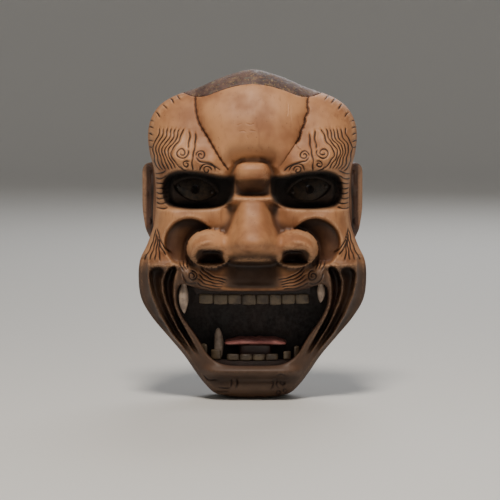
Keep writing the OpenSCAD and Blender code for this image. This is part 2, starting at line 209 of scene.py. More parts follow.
def smoothLine(points, step):
    # curve through open points, resampled at about the given step
    points = np.asarray(points, float)
    ends = np.vstack([2 * points[0] - points[1], points, 2 * points[-1] - points[-2]])
    out = []
    for i in range(len(points) - 1):
        p0, p1, p2, p3 = ends[i:i + 4]
        count = max(2, int(np.linalg.norm(p2 - p1) / step))
        t = np.arange(count)[:, None] / count
        out.append(catmull(p0, p1, p2, p3, t))
    return np.vstack(out + [points[-1:]])


def closedLine(points, count):
    # curve through a closed set of points
    n = len(points)
    u = np.arange(count) * n / count
    i = u.astype(int)
    t = (u - i)[:, None]
    return catmull(points[i - 1], points[i], points[(i + 1) % n], points[(i + 2) % n], t)


def halfCurve(points, u):
    # curve through a half outline that is mirrored at both ends
    flip = np.array([-1, 1])
    ends = np.vstack([points[1] * flip, points, points[-2] * flip])
    i = np.minimum(np.floor(u).astype(int), lastPoint - 1)
    t = (u - i)[:, None]
    return catmull(ends[i], ends[i + 1], ends[i + 2], ends[i + 3], t)


def wholeCurve(points, u):
    # down one side and back up the other
    near = np.where(u <= lastPoint, u, 2 * lastPoint - u)
    curve = halfCurve(points, near)
    curve[:, 0] *= np.where(u <= lastPoint, 1, -1)
    return curve


def footOf(edge):
    # the back edge: the outline drawn in by the lean of the sides
    return edge * (1 - sideLean / np.linalg.norm(edge, axis=1, keepdims=True))


def innerOf(edge):
    # the inner edge of the flat rim
    return footOf(edge) * np.array([1 - rimWidth / 62, 1 - rimWidth / 106])


halfLine = halfCurve(outline, np.arange(0, lastPoint + 0.01, 0.125))
halfInner = innerOf(halfLine)


def direction(a, b):
    # angle from straight up, the same on both sides
    return np.arctan2(np.abs(a), b)


def edgeRadius(a, b):
    return np.interp(direction(a, b), direction(*halfLine.T), np.hypot(*halfLine.T))


def innerRadius(a, b):
    return np.interp(direction(a, b), direction(*halfInner.T), np.hypot(*halfInner.T))


def hollowOf(a, b):
    # height of the hollow: its full height times the root of one less the cube of the way out
    share = np.minimum(0.985, np.hypot(a, b) / innerRadius(a, b))
    return hollowHeight * np.sqrt(1 - share ** 3)


def toSegment(start, end, a, b):
    # the segment, the way to each place from its start, and the shortest distance to it
    along = end - start
    da, db = a - start[0], b - start[1]
    share = np.clip((da * along[0] + db * along[1]) / (along @ along), 0, 1)
    return along, da, db, np.hypot(da - share * along[0], db - share * along[1])


def lineDistance(line, a, b):
    # signed distance to an open line, positive on the right of its direction
    line = np.asarray(line, float)
    best = np.full(a.shape, 1e9)
    sign = np.ones(a.shape)
    for start, end in zip(line[:-1], line[1:]):
        along, da, db, distance = toSegment(start, end, a, b)
        closer = distance < best
        best = np.where(closer, distance, best)
        sign = np.where(closer, np.sign(along[1] * da - along[0] * db), sign)
    return best * sign


def insideDistance(polygon, a, b):
    # distance to a closed outline, positive inside
    polygon = np.asarray(polygon, float)
    best = np.full(a.shape, 1e9)
    odd = np.zeros(a.shape, bool)
    for start, end in zip(polygon, np.roll(polygon, -1, axis=0)):
        along, _, db, distance = toSegment(start, end, a, b)
        best = np.minimum(best, distance)
        if abs(along[1]) > 1e-9:
            crosses = (start[1] > b) != (end[1] > b)
            odd ^= crosses & (a < start[0] + along[0] * db / along[1])
    return np.where(odd, best, -best)


# The face
# Middle of the face from the crown down: height up, height forward.
midline = np.array([
    [108.5, 28], [103, 39], [97.5, 46], [85, 56.5], [70, 64.4], [60, 67], [54, 66.2],
    [50.5, 63.5], [48, 60], [46.6, 60], [45, 64], [42, 66.4], [39, 66.8], [36.6, 66],
    [34, 62.5], [30, 57], [27, 53.5], [25.6, 53], [24.6, 56.5], [22.6, 60.8], [18, 64.2],
    [12, 68.6], [6, 74.2], [0, 80.4], [-4, 84], [-7, 84.6], [-9.4, 83], [-12, 78.5],
    [-15.5, 71], [-18.5, 63.5], [-22, 60], [-27, 58.5], [-37, 57]])
leftCrease = smoothLine([[-37.4, 90], [-37, 82], [-35.4, 74], [-29, 62.4], [-22.4, 50.7],
                         [-16.3, 41.6]], 1.5)
rightCrease = smoothLine([[36.5, 90], [35.8, 77.4], [34, 74], [32, 66], [27.6, 58.5],
                          [22, 50], [17, 42.8]], 1.5)
knobArch = smoothLine([[-13.4, 40.5], [-12, 45.5], [-7.5, 48.6], [0, 49.4], [7.5, 48.6],
                       [12, 45.5], [13.4, 40.5]], 1.5)
foreheadOutline = np.vstack([leftCrease, knobArch, rightCrease[::-1],
                             [[38, 104], [0, 120], [-38, 104]]])
innerRidge = [[47.5, -20.5], [50.2, -27], [51.2, -33], [51.4, -41], [50.6, -47.5], [48.2, -54],
              [44.9, -60.3], [41.2, -66.8], [37.4, -73.5], [33, -80.5]]
middleRidge = [[52.6, -17], [55.5, -22.5], [58.6, -30], [58.6, -37], [57, -44], [52.8, -54],
               [48.2, -63], [43, -71], [38, -79]]
outerRidge = [[67, -12], [68, -18.5], [67.8, -31], [65.8, -40], [60.4, -53], [53, -65.5],
              [46, -74], [40, -82]]
eye = {"across": 37, "up": 29, "centre": 27, "plate": 24, "lid": 25.2, "length": 28,
       "height": 14, "slant": 10, "gap": 0.3, "sight": 2.25, "sight rise": 36}
socket = closedLine(np.array([
    [10.6, 37], [14, 38], [19, 37.4], [26, 38.6], [33, 40], [41, 40.8], [49, 40.8], [56, 38],
    [59.4, 31.5], [59, 23.6], [55, 18.4], [46, 16.8], [36, 16.2], [26, 16.6], [18.4, 18.6],
    [13, 22.4], [10.6, 28]]), 96)


def eyeFrame(p, b):
    # place on the eye, along the almond and across it
    turn = math.radians(eye["slant"])
    dp, db = p - eye["across"], b - eye["up"]
    return dp * math.cos(turn) + db * math.sin(turn), -dp * math.sin(turn) + db * math.cos(turn)


def almondDistance(p, b):
    # positive inside the almond
    along, across = eyeFrame(p, b)
    halfLong, halfHigh = eye["length"] / 2, eye["height"] / 2
    arc = (halfLong ** 2 + halfHigh ** 2) / (2 * halfHigh)
    return arc - np.hypot(along, np.abs(across) + arc - halfHigh)


def crescentRounds(p, b):
    # distance into the round of the cheek, and distance out of the round of the nose's wing
    return 16.2 - np.hypot(p - 41, b + 6), np.hypot(p - 28.6, b + 11.5) - 14.3


def crescentDepth(p, b):
    # from 0 outside to 1 inside the hollow between the cheek and the wing of the nose
    cheekRound, wingRound = crescentRounds(p, b)
    within = ramp(-0.7, 1.4, np.minimum(cheekRound, wingRound))
    return within * ramp(-21.5, -17, b) * ramp(21, 25, p)


def faceHeight(a, b, share):
    # Forward height of the carved face: a dome that falls off as the root of one less the cube of
    # the way out, with humps, ridges and cuts added. share is 0 at the lip and 1 at the outline.
    p = np.abs(a)
    reach = np.minimum(1, np.hypot(a, b) / edgeRadius(a, b))
    middle = 50 + 15 * ramp(-70, 30, b)
    f = sideHeight + (middle - sideHeight) * np.sqrt(1 - reach ** 3)

    # forehead: a swollen plate between the two creases, temples a little lower
    within = insideDistance(foreheadOutline, a, b)
    f += ramp(38, 47, b) * (5.4 * (1 - np.exp(-np.maximum(within, 0) / 5)) - 0.6)
    f += 2.4 * block(a, b, (0, 66), (26, 20), 3) * (within > 0)

    f -= 4.2 * hump(b - 47, 6.5) * ramp(26, 14, p)

    # brows roll forward over the sockets
    f += 7.5 * bell(p, b, (34, 47), (21, 8.5)) * ramp(12, 20, p)
    f += 3.5 * bell(p, b, (52, 50), (12, 12))

    # knob between the brows, and the groove round it
    centreLine = np.interp(b, midline[::-1, 0], midline[::-1, 1])
    knobWide = np.interp(b, [24, 28, 34, 40, 44, 48], [10.2, 10.6, 11.6, 12.6, 12, 9.5])
    knob = centreLine - 10 * (p / knobWide) ** 5 - 1.2 * (p / knobWide) ** 2
    toKnob = np.hypot(p / 12.4, (b - 38) / 9.6) - 1
    valley = 55.5 + 21 * np.maximum(toKnob - 0.1, 0) + 3 * ramp(36, 48, b)
    valley = np.where(b < 36, 53.0, valley)
    between = ramp(54, 50, b) * ramp(22, 26, b) * ramp(26, 17, p)
    f = mix(f, np.minimum(f, valley), between)
    f = np.where(b > 23, mix(f, softMax(f, knob, 0.8), ramp(50, 47.5, b) * ramp(23, 26, b)), f)

    # eye sockets
    within = insideDistance(socket, p, b)
    deep = ramp(-0.6, 3.2, within) * ramp(10.4, 19, p)
    floor = 42.5 - 2.5 * ramp(30, 55, p)
    f = mix(f, np.minimum(f, floor), deep)
    along, across = eyeFrame(p, b)
    r2 = along ** 2 + across ** 2
    lid = eye["centre"] + np.sqrt(np.maximum(eye["lid"] ** 2 - r2, 1))
    f = np.where(deep > 0, softMax(f, lid - 18 * ramp(14.5, 21, np.sqrt(r2)), 1.5), f)
    open_ = almondDistance(p, b)
    # thick upper lid, thinner lower lid
    nearEye = ramp(20, 17, np.sqrt(r2))
    f += 1.2 * hump(open_ + 1.6, 1.5) * np.where(across > 0, 1.0, 0.3) * nearEye
    f -= 0.7 * hump(open_ + 4.2, 1.0) * np.where(across > 0, 1.0, 0.2) * nearEye
    recess = eye["centre"] + np.sqrt(np.maximum((eye["plate"] - 1.25) ** 2 - r2, 1))
    f = mix(f, np.minimum(f, recess), ramp(-eye["gap"] - 0.15, -eye["gap"] + 0.25, open_))

    # the cheeks lie back from the nose, with a full band under the eyes
    f -= 9.5 * ramp(25, 17, b) * ramp(-34, -14, b) * ramp(64, 38, p)
    band = 3.5 * bell(p, b, (36, 12), (19, 7)) + 4.5 * bell(p, b, (54, 7), (12, 15))
    f += band * ramp(18, 15, b)

    f -= 3 * bell(p, b, (16.5, 15), (4.2, 7.5))

    # nose
    wide = np.interp(b, [-20, -12, -6, 0, 6, 16, 24], [19, 22, 23, 21, 17, 13, 11.6])
    nose = centreLine - (centreLine - 44) * (p / wide) ** np.interp(b, [-8, 4, 20], [2.3, 2.7, 4])
    f = np.where(b < 26, mix(f, softMax(f, nose, 2.2), ramp(26.5, 24, b) * ramp(-21, -17, b)), f)

    # wings, and the crescent hollows beside them
    wing = np.maximum(0, 1 - ((p - 27.4) / 15.4) ** 2 - ((b + 9.4) / 12.6) ** 2)
    wingHeight = 52 + 20.5 * wing ** 0.5
    cheekRound, wingRound = crescentRounds(p, b)
    f -= (5.5 + 4.5 * np.exp(-np.maximum(wingRound, 0) / 5)) * crescentDepth(p, b)
    f = np.where(wing > 0, softMax(f, wingHeight, mix(1.2, 7, ramp(31, 18, p))), f)
    f += 1.1 * hump(cheekRound + 1.2, 1.3) * ramp(26, 32, p) * ramp(-16, -8, b)

    # underside of the nose, nostrils and the hollow of the lip below them
    brink = np.interp(p, [0, 12, 19, 26, 34, 42], [-9.4, -9.6, -9.4, -9, -9.6, -14])
    under = np.interp(p, [0, 10, 18, 24, 34, 42], [84.6, 82, 76, 73, 71, 62])
    under = under - 1.9 * np.maximum(0, brink - b) - 1.4 * np.maximum(0, brink - 7 - b)
    lipPlane = 58.5 - 0.0046 * p ** 2 + 0.05 * (b + 22)
    lower = np.minimum(f, np.maximum(under, lipPlane))
    f = mix(f, lower, ramp(-8.6, -10.6, b) * ramp(46, 42, p) * ramp(-40, -34, b))
    f -= 12 * block(p, b, (26.4, -14.4), (7.6, 4.2), 4)
    nostrilRim = hump(np.hypot((p - 27) / 11.4, (b + 13.6) / 8.6) - 1, 0.2)
    f += 2.2 * nostrilRim * ramp(22, 30, p) * ramp(-23, -19, b)
    f -= 2.2 * bell(p, b, (0, -27), (9, 9))

    # upper lip, moustache and ledge
    f += 2.3 * ramp(9, 17, p) * ramp(48.5, 45, p) * ramp(-36.5, -31, b) * ramp(-17, -21, b)
    f += 1.6 * hump(b + 34.3, 1.7) * ramp(32, 26, p)
    ledge = hump(b + 20.6 - 0.03 * (p - 58), 1.3)
    f += 2.4 * ledge * ramp(45, 49, p) * ramp(70, 66, p)
    f -= 2.2 * bell(p, b, (57, -14), (6, 4.5))

    # folds round the mouth: sharp ridges with round-bottomed hollows between them
    r0, r1, r2_ = (lineDistance(line, p, b) for line in (innerRidge, middleRidge, outerRidge))
    fade = ramp(-84, -58, b)

    def furrow(inner, outer, height, power, start):
        # hollow between two ridges, arched at its upper end
        x = np.clip(-inner / np.maximum(-inner + outer, 1e-6), 0, 1)
        side = np.abs(2 * x - 1)
        top = start - 4.5 * side ** 2.5
        depth = height * (1 - side ** power) * ramp(top, top - 2.2, b)
        return np.where((inner < 0) & (outer > 0), depth, 0) * fade

    f -= furrow(r0, r1, 12.5, 2.6, -20.4)
    f -= furrow(r1, r2_, 8.5, 2.4, -21)
    toEdge = edgeRadius(a, b) - np.hypot(a, b)
    f -= furrow(r2_, toEdge, 3.6, 2.2, -13)
    for ridge, height in ((r1, 1.2), (r2_, 2.0)):
        f += height * hump(ridge, 1.0) * ramp(-17, -21, b) * fade

    # lower lip and chin
    f += 4.6 * hump(b + 90.4, 3.0) * ramp(37, 26, p)
    f -= 1.6 * hump(b + 96, 2.4) * ramp(34, 20, p)
    f += 1.8 * bell(p, b, (0, -101), (24, 4.5))
    # the lips roll back into the mouth
    lip = share * np.interp(b, [-90, -36, 40], [22, 30, 120])
    f -= 2.2 * np.exp(-np.maximum(lip, 0) / 1.1)
    f = np.where(b > 0, softMax(f, hollowOf(a, b) + 2.2, 0.6), f)
    return np.where(share > 0.9999, sideHeight, f)


# Engraved hair
groove = {"depth": 1.0, "half width": 0.5, "wander": 0.18}


def spiral(centre, radius, turns, start, way=1, last=0.7):
    # circle of shrinking radius: from radius at the angle start down to last
    t = np.linspace(0, 1, int(26 * turns))
    angle = math.radians(start) + way * t * turns * 2 * math.pi
    r = mix(radius, last, t)
    return np.stack([centre[0] + r * np.cos(angle), centre[1] + r * np.sin(angle)], 1)


def strand(*points):
    return smoothLine(points, 1.2)


def parallel(first, last, count):
    # strands spread evenly between two strands drawn with as many points
    first, last = np.array(first, float), np.array(last, float)
    return [smoothLine(mix(first, last, t), 1.2) for t in np.linspace(0, 1, count)]


def waved(lines, size, length):
    # shifts each strand sideways in a soft wave, a little later from strand to strand
    out = []
    for number, line in enumerate(lines):
        line = smoothLine(line, 0.8)
        along = np.r_[0, np.cumsum(np.linalg.norm(np.diff(line, axis=0), axis=1))]
        softer = 1 - 0.6 * number / len(lines)
        line[:, 0] += softer * size * np.sin(along * 2 * math.pi / length + 0.45 * number)
        out.append(line)
    return out


# one half of the face; across is measured from the middle
browLines = [
    strand((41, 67.6), (40.5, 63), (41.2, 58.2), (41.6, 55)),
    spiral((45.6, 52.4), 4.4, 1.7, 145, 1),
    strand((36.8, 66), (36.8, 60), (37.7, 53), (38.8, 47), (38.4, 40.6)),
    spiral((42.6, 44.8), 2.5, 1.4, 150, -1), spiral((33.2, 50.6), 3.3, 1.5, -10, 1),
    strand((36.4, 50), (34.6, 47), (30, 45.9), (25.5, 44.6), (20.4, 40.6)),
    spiral((29.4, 41.2), 2.9, 1.3, -160, -1),
    strand((23.6, 40), (25, 43.4), (28.6, 45), (32.4, 43.8), (34, 40.6)),
    *waved(parallel([(43.6, 68.6), (46, 63), (50.6, 57), (51.8, 51), (50.2, 46), (46.6, 42.2)],
                    [(60, 69.8), (61.6, 64), (64.4, 57), (64.4, 51), (63, 46), (59.2, 41.2)], 7),
           0.9, 15),
    *parallel([(64, 40.4), (61.5, 39.6), (58.4, 40), (55.6, 41.8)],
              [(63.4, 18.2), (61, 17), (58, 16.6), (54.6, 17.6)], 8),
    strand((47.5, 44), (44.8, 41.9), (41.6, 40.9))]
whiskerLines = [
    *parallel([(63.2, 3.4), (64.4, -2.6), (66.8, -9.4), (71, -17)],
              [(60.6, -3), (60.8, -7.4), (60.8, -12), (60, -17.4)], 4),
    *parallel([(62.4, 4.6), (60.6, -2), (58, -7.6), (53.6, -12.2)],
              [(62.6, 0.6), (61, -5), (59.2, -9.4), (56, -13.8)], 2)]
moustacheLines = [
    *parallel([(47.4, -17.4), (46.8, -20.6), (45, -24)],
              [(43, -16.8), (42.6, -20), (41.4, -22.8)], 3),
    spiral((39.2, -27.2), 3.5, 1.7, 60, 1),
    strand((45.6, -25), (44.6, -29.4), (40.6, -32.4), (36, -31.8)),
    *parallel([(34, -20.4), (30.4, -24.6), (24.6, -27.8), (16.6, -30)],
              [(36.4, -31.2), (32.6, -34), (27.6, -35.4), (20, -36)], 5)]
templeLines = [strand((x, z), (x - 1.6, z - 1.6), (x - 3.4, z - 4.2)) for x, z in
               ((50, 91.6), (54.4, 89.6), (59, 85.6), (63.6, 80.4))]
templeLines += [strand((68.6, z), (66.6, z - 0.4), (64.6, z - 1.6))
                for z in (75, 70.6, 66.2, 61.8, 57.6)]
# the chin, as it lies on each side
chinLines = [
    strand((-32.4, -93), (-29, -95.6), (-23, -96)),
    strand((-14.2, -95), (-13.6, -98), (-14.4, -101.6)),
    strand((-10.6, -94.6), (-10, -98), (-10.8, -102)),
    strand((-23, -100.6), (-19, -101.6), (-14, -101)),
    strand((-24, -103.6), (-19.6, -104.4), (-15.6, -103.8)), strand((-20, -106.6), (-16, -107)),
    strand((13, -96), (13.4, -99), (12.6, -102)),
    strand((16.6, -95.6), (15.8, -98.6), (17, -101.4)),
    spiral((20, -98), 1.7, 1.2, 80, 1, 0.4), spiral((17, -104.4), 1.8, 1.2, 200, 1, 0.4),
    spiral((21.4, -103), 1.6, 1.1, 20, -1, 0.4), strand((13, -105.4), (14, -107)),
    strand((15, -93.4), (18.6, -92.2), (22.4, -93))]


def strokePoints():
    # every groove as closely spaced points [across, up, depth], thinning out at its ends
    out = []
    for side in (-1, 1):
        for line in browLines + whiskerLines + moustacheLines + templeLines:
            out.append(line * [side, 1] + [0.35 * (side > 0) * math.sin(len(out)), 0])
    out += chinLines
    rows = []
    for line in out:
        line = smoothLine(line, 0.25)
        length = np.r_[0, np.cumsum(np.linalg.norm(np.diff(line, axis=0), axis=1))]
        taper = np.clip(np.minimum(length + 0.5, length[-1] + 0.8 - length) / 2.2, 0.15, 1)
        phase = rng.uniform(0, 6)
        worn = 0.86 + 0.14 * np.sin(length * 0.7 + phase)
        line = line + groove["wander"] * np.stack([np.sin(length * 0.9 + phase),
                                                   np.cos(length * 0.7 + phase)], 1)
        rows.append(np.column_stack([line, taper * worn]))
    return np.vstack(rows)


strokes = strokePoints()
cracks = [  # [points, half width, depth, darkness]
    [smoothLine([[36.2, 89.6], [35.6, 84], [36.2, 79.6], [34.2, 76], [33.6, 71.4], [31.4, 66.8],
                 [30.4, 62.2], [27.8, 58.4]], 0.5), 0.7, 1.5, 1.0],
    [smoothLine([[27.8, 58.4], [29.4, 56], [31.8, 54.2]], 0.5), 0.3, 0.4, 0.7],
    [smoothLine([[27.8, 58.4], [24.6, 53.6], [22, 50], [18, 44]], 0.5), 0.3, 0.35, 0.4],
    [smoothLine([[-37.2, 89], [-36.8, 82], [-35.2, 74], [-32.4, 68], [-28.8, 62.4], [-25.4, 56.4],
                 [-22.2, 50.8], [-19, 46], [-16, 42]], 0.5), 0.75, 1.3, 0.95],
    [smoothLine([[22.4, 85], [22.8, 80], [22.2, 76.6]], 0.5), 0.25, 0.25, 0.3],
    [smoothLine([[24.6, 83], [24.4, 78], [24.8, 73.4]], 0.5), 0.25, 0.25, 0.3],
    [smoothLine([[-9.4, 70.2], [-7.6, 70.9]], 0.4), 0.3, 0.3, 0.55],
    [smoothLine([[-4, 71.2], [-1.4, 70.4], [0.6, 71]], 0.4), 0.28, 0.3, 0.5],
    [smoothLine([[-8.4, 66], [-5.6, 66.4], [-4.6, 65.8]], 0.4), 0.28, 0.3, 0.5],
    [smoothLine([[-1.6, 66.8], [1.8, 66.2]], 0.4), 0.3, 0.3, 0.55],
    [smoothLine([[-3.4, 63], [-3, 61.8]], 0.4), 0.3, 0.25, 0.4]]


def crackPoints():
    rows = []
    for line, half, deep, dark in cracks:
        line = smoothLine(line, 0.3)
        rough = 0.2 if line[0, 0] > 0 else 0.06
        waves = np.arange(len(line))[:, None] * [1.1, 0.83] + rng.uniform(0, 6, 2)
        line = line + rough * np.sin(waves)
        line = line + 0.3 * rough * rng.normal(size=line.shape)
        jag = 1 + 0.25 * np.sin(np.arange(len(line)) * 0.37 + rng.uniform(0, 6))
        rows.append(np.column_stack([line, half * jag, np.full(len(line), deep),
                                     np.full(len(line), dark)]))
    return np.vstack(rows)


crackRows = crackPoints()


def nearest(points, a, b, limit):
    # distance to the nearest of the points and its number, looked up on a coarse grid first
    tree = kdtree.KDTree(len(points))
    for i, point in enumerate(points):
        tree.insert((point[0], point[1], 0), i)
    tree.balance()
    cell = 6.0
    busy = set()
    reach = int(math.ceil(limit / cell))
    around = range(-reach, reach + 1)
    for i, j in {(int(x // cell), int(y // cell)) for x, y in points[:, :2]}:
        busy |= {(i + di, j + dj) for di in around for dj in around}
    distance = np.full(len(a), 1e3)
    index = np.zeros(len(a), int)
    for k, (x, y) in enumerate(zip(a.tolist(), b.tolist())):
        if (int(x // cell), int(y // cell)) in busy:
            _, index[k], distance[k] = tree.find((x, y, 0))
    return distance, index


def carveLines(a, b, f):
    # cuts the grooves and cracks into the height f; returns it and how dark each point is
    distance, index = nearest(strokes, a, b, 2)
    cut = strokes[index, 2] * np.exp(-(distance / groove["half width"]) ** 2)
    crest = strokes[index, 2] * hump(distance - 1.3, 0.55)
    f = f - groove["depth"] * cut + 0.3 * crest
    distance, index = nearest(crackRows, a, b, 2)
    half, deep, dark = crackRows[index, 2:].T
    open_ = np.exp(-(distance / np.maximum(half, 0.2)) ** 2)
    return f - deep * open_, cut, dark * open_


# Pieces from grids
def newPiece(name, points, faces):
    # piece from points in metres and faces; it is left at the origin
    mesh = bpy.data.meshes.new(name)
    mesh.from_pydata(np.asarray(points).tolist(), [], faces)
    mesh.shade_smooth()
    obj = bpy.data.objects.new(name, mesh)
    bpy.context.collection.objects.link(obj)
    return obj


def gridQuads(rows, columns, closeRows=False):
    # four-sided faces between rings of points, and from the last ring to the first if asked for
    i = np.arange(rows if closeRows else rows - 1)[:, None]
    j = np.arange(columns)[None, :]
    i2, j2 = (i + 1) % rows, (j + 1) % columns
    quads = [i * columns + j, i * columns + j2, i2 * columns + j2, i2 * columns + j]
    return np.stack(quads, -1).reshape(-1, 4)


def closedRings(rings):
    # points and faces of stacked rings (rows, columns, 3), closed by a fan at either end
    rows, columns, _ = rings.shape
    ring = np.arange(columns)
    following = (ring + 1) % columns
    count, base = rows * columns, (rows - 1) * columns
    fans = [np.column_stack([ring, np.full(columns, count), following]),
            np.column_stack([base + ring, base + following, np.full(columns, count + 1)])]
    points = np.vstack([rings.reshape(-1, 3), rings[0].mean(0), rings[-1].mean(0)])
    return points, gridQuads(rows, columns).tolist() + np.vstack(fans).tolist()


def faceOutwards(obj):
    bm = bmesh.new()
    bm.from_mesh(obj.data)
    bmesh.ops.recalc_face_normals(bm, faces=bm.faces[:])
    if bm.calc_volume(signed=True) < 0:
        bmesh.ops.reverse_faces(bm, faces=bm.faces[:])
    bm.to_mesh(obj.data)
    bm.free()
    obj.data.shade_smooth()


def tube(name, rings):
    obj = newPiece(name, *closedRings(rings))
    faceOutwards(obj)
    return obj


def cut(obj, tool, operation="DIFFERENCE"):
    # exact cut of one closed piece by another, which is used up
    modifier = obj.modifiers.new("cut", "BOOLEAN")
    modifier.operation, modifier.object, modifier.solver = operation, tool, "MANIFOLD"
    bpy.context.view_layer.objects.active = obj
    bpy.ops.object.modifier_apply(modifier=modifier.name)
    bpy.data.objects.remove(tool)


def rod(name, start, end, radius, sides=32):
    # straight cylinder between two points in metres
    start, end = np.array(start, float), np.array(end, float)
    axis = (end - start) / np.linalg.norm(end - start)
    side = np.cross(axis, [0, 0, 1] if abs(axis[2]) < 0.9 else [1, 0, 0])
    side /= np.linalg.norm(side)
    other = np.cross(axis, side)
    angle = 2 * math.pi * np.arange(sides) / sides
    ring = radius * (np.cos(angle)[:, None] * side + np.sin(angle)[:, None] * other)
    return tube(name, np.stack([start + ring, end + ring]))


# The carved shell
shellPiece = {
    "columns": 352, "rows": 50, "hollow rows": 18,
    "side steps": (0.12, 0.3, 0.5, 0.7, 0.86, 0.955), "rim steps": (0.04, 0.5, 0.97),
    "rim edge": 0.6, "lip steps": (0.12, 0.4, 0.68, 0.9),
    "crown drop": 2.0,   # how far the crown lies below the forehead's edge
    "coarse": 1.7, "fine": 0.98, "ridge": 0.66, "finest": 0.41, "plain": 3.0,   # edge lengths
    "passes": 5, "trim": 0.9998}
crownJoint = np.array([[0, 97.5], [11, 96], [21, 93], [30, 89.8], [36, 89.5], [42, 91], [50, 96]])


def targetSize(a, b):
    # wanted edge length: finest at the grooves, fine at the crisp edges, coarse elsewhere
    p = np.abs(a)
    size = np.full(a.shape, float(shellPiece["coarse"]))
    crisp = np.abs(insideDistance(socket, p, b)) < 3
    crisp |= np.abs(almondDistance(p, b)) < 1.6
    crisp |= (np.hypot(p - 41, b + 6) < 18) & (b > -21)
    crisp |= (p > 46) & (b < -15) & (b > -72)
    crisp |= (p < 16) & (b > 22) & (b < 51)
    crisp |= (p < 42) & (b > -22) & (b < -11)
    crisp |= (b < -28) & (b > -37) & (p < 48)
    size[crisp] = shellPiece["fine"]
    for line in (innerRidge, middleRidge, outerRidge):
        ridge = (np.abs(lineDistance(line, p, b)) < 2) & (b < -15) & (b > -76)
        size[ridge] = shellPiece["ridge"]
    distance, _ = nearest(strokes, a, b, 3)
    beside = np.where(distance < 3, np.minimum(size, 0.8), size)
    size = np.where(distance < 1.7, shellPiece["finest"], beside)
    distance, _ = nearest(crackRows, a, b, 3)
    return np.where(distance < 1.6, shellPiece["finest"], size)


def sectionRings(drop):
    # Rings of [a, b, f, share], each over the whole way round: over the face from lip to outline,
    # down the side, across the flat rim, up the hollow and forward through the wall of the mouth.
    columns, rows = shellPiece["columns"], shellPiece["rows"]
    u = 2 * lastPoint * np.arange(columns) / columns
    lip, edge = wholeCurve(mouthLine, u), wholeCurve(outline, u) * shellPiece["trim"]
    low, inner = footOf(edge), innerOf(edge)
    rings = []

    def ring(place, height, share=2.0):
        rings.append(np.column_stack([place, np.broadcast_to(height, columns),
                                      np.full(columns, share)]))

    for s in np.linspace(0, 1, rows + 1):
        t = s * (1.3 - 0.3 * s * s)
        ring(mix(lip, edge, t), 0, t)
    for t in shellPiece["side steps"]:
        ring(mix(edge, low, t), (sideHeight - drop) * (1 - t))
    for t in shellPiece["rim steps"]:
        ring(mix(low, inner, t), 0)
    last = shellPiece["hollow rows"] - 1
    for i in range(last + 1):
        place = mix(inner, lip, 1 - math.cos(math.pi / 2 * i / last))
        ring(place, hollowOf(*place.T) if i else shellPiece["rim edge"])
    back = hollowOf(*lip.T)
    front = faceHeight(lip[:, 0], lip[:, 1], np.zeros(columns)) - drop
    for t in shellPiece["lip steps"]:
        ring(lip * (1 + 0.012 * math.sin(math.pi * t)), mix(back, front, t))
    return np.array(rings)


def refine(bm, layer, carve):
    # halves the edges of the face that are longer than wanted there, until none are left
    for _ in range(shellPiece["passes"]):
        ends = np.array([[*e.verts[0].co.xy, *e.verts[1].co.xy,
                          max(e.verts[0][layer], e.verts[1][layer])] for e in bm.edges])
        length = np.hypot(ends[:, 0] - ends[:, 2], ends[:, 1] - ends[:, 3])
        front = (ends[:, 4] <= 1) & (length > shellPiece["finest"])
        wanted = np.full(len(ends), 99.0)
        middle = (ends[front, :2] + ends[front, 2:4]) / 2
        wanted[front] = targetSize(middle[:, 0], middle[:, 1]) if carve else shellPiece["plain"]
        tooLong = np.nonzero(length > 1.35 * wanted)[0]
        if not len(tooLong):
            break
        bm.edges.ensure_lookup_table()
        bmesh.ops.subdivide_edges(bm, edges=[bm.edges[i] for i in tooLong], cuts=1,
                                  use_grid_fill=True)
    bmesh.ops.triangulate(bm, faces=[f for f in bm.faces if len(f.verts) > 4])


def carvedBlock(name, drop, carve):
    # closed ring of sections, divided while it lies flat in the layout and then raised
    rings = sectionRings(drop)
    rows, columns, _ = rings.shape
    obj = newPiece(name, rings[..., :3].reshape(-1, 3), gridQuads(rows, columns, True).tolist())
    bm = bmesh.new()
    bm.from_mesh(obj.data)
    layer = bm.verts.layers.float.new("share")
    for vertex, share in zip(bm.verts, rings[..., 3].ravel().tolist()):
        vertex[layer] = share
    refine(bm, layer, carve)
    shares = np.array([vertex[layer] for vertex in bm.verts])
    a, b, f = np.array([vertex.co for vertex in bm.verts]).T.copy()
    face = shares <= 1
    height = faceHeight(a[face], b[face], shares[face]) - drop
    if carve:
        height = carveLines(a[face], b[face], height)[0]
    f[face] = height
    for vertex, point in zip(bm.verts, placed(a, b, f).tolist()):
        vertex.co = point
    bm.to_mesh(obj.data)
    bm.free()
    faceOutwards(obj)
    return obj


def aboveJoint(margin):
    # prism along the line of sight over everything above the joint of the crown
    half = smoothLine(crownJoint, 1.5) - [0, margin]
    half = np.vstack([half, [[100, 96 - margin], [100, 170]]])
    ring = np.vstack([half[::-1] * [-1, 1], half[1:]])
    ends = [placed(ring[:, 0], ring[:, 1], np.full(len(ring), f)) for f in (-12.0, 100.0)]
    return tube("jointPrism", np.stack(ends))


shell = carvedBlock("faceShell", 0, True)
cut(shell, aboveJoint(0.05))
crown = carvedBlock("crownBlock", shellPiece["crown drop"], False)
cut(crown, aboveJoint(0), "INTERSECT")
print("shell and crown carved,", len(shell.data.vertices), "points in the shell")


def inMask(points):
    # metres back to the layout's a, b, f
    f = -points[:, 1] / mm
    return points[:, 0] / mm, points[:, 2] / mm - lift * f, f


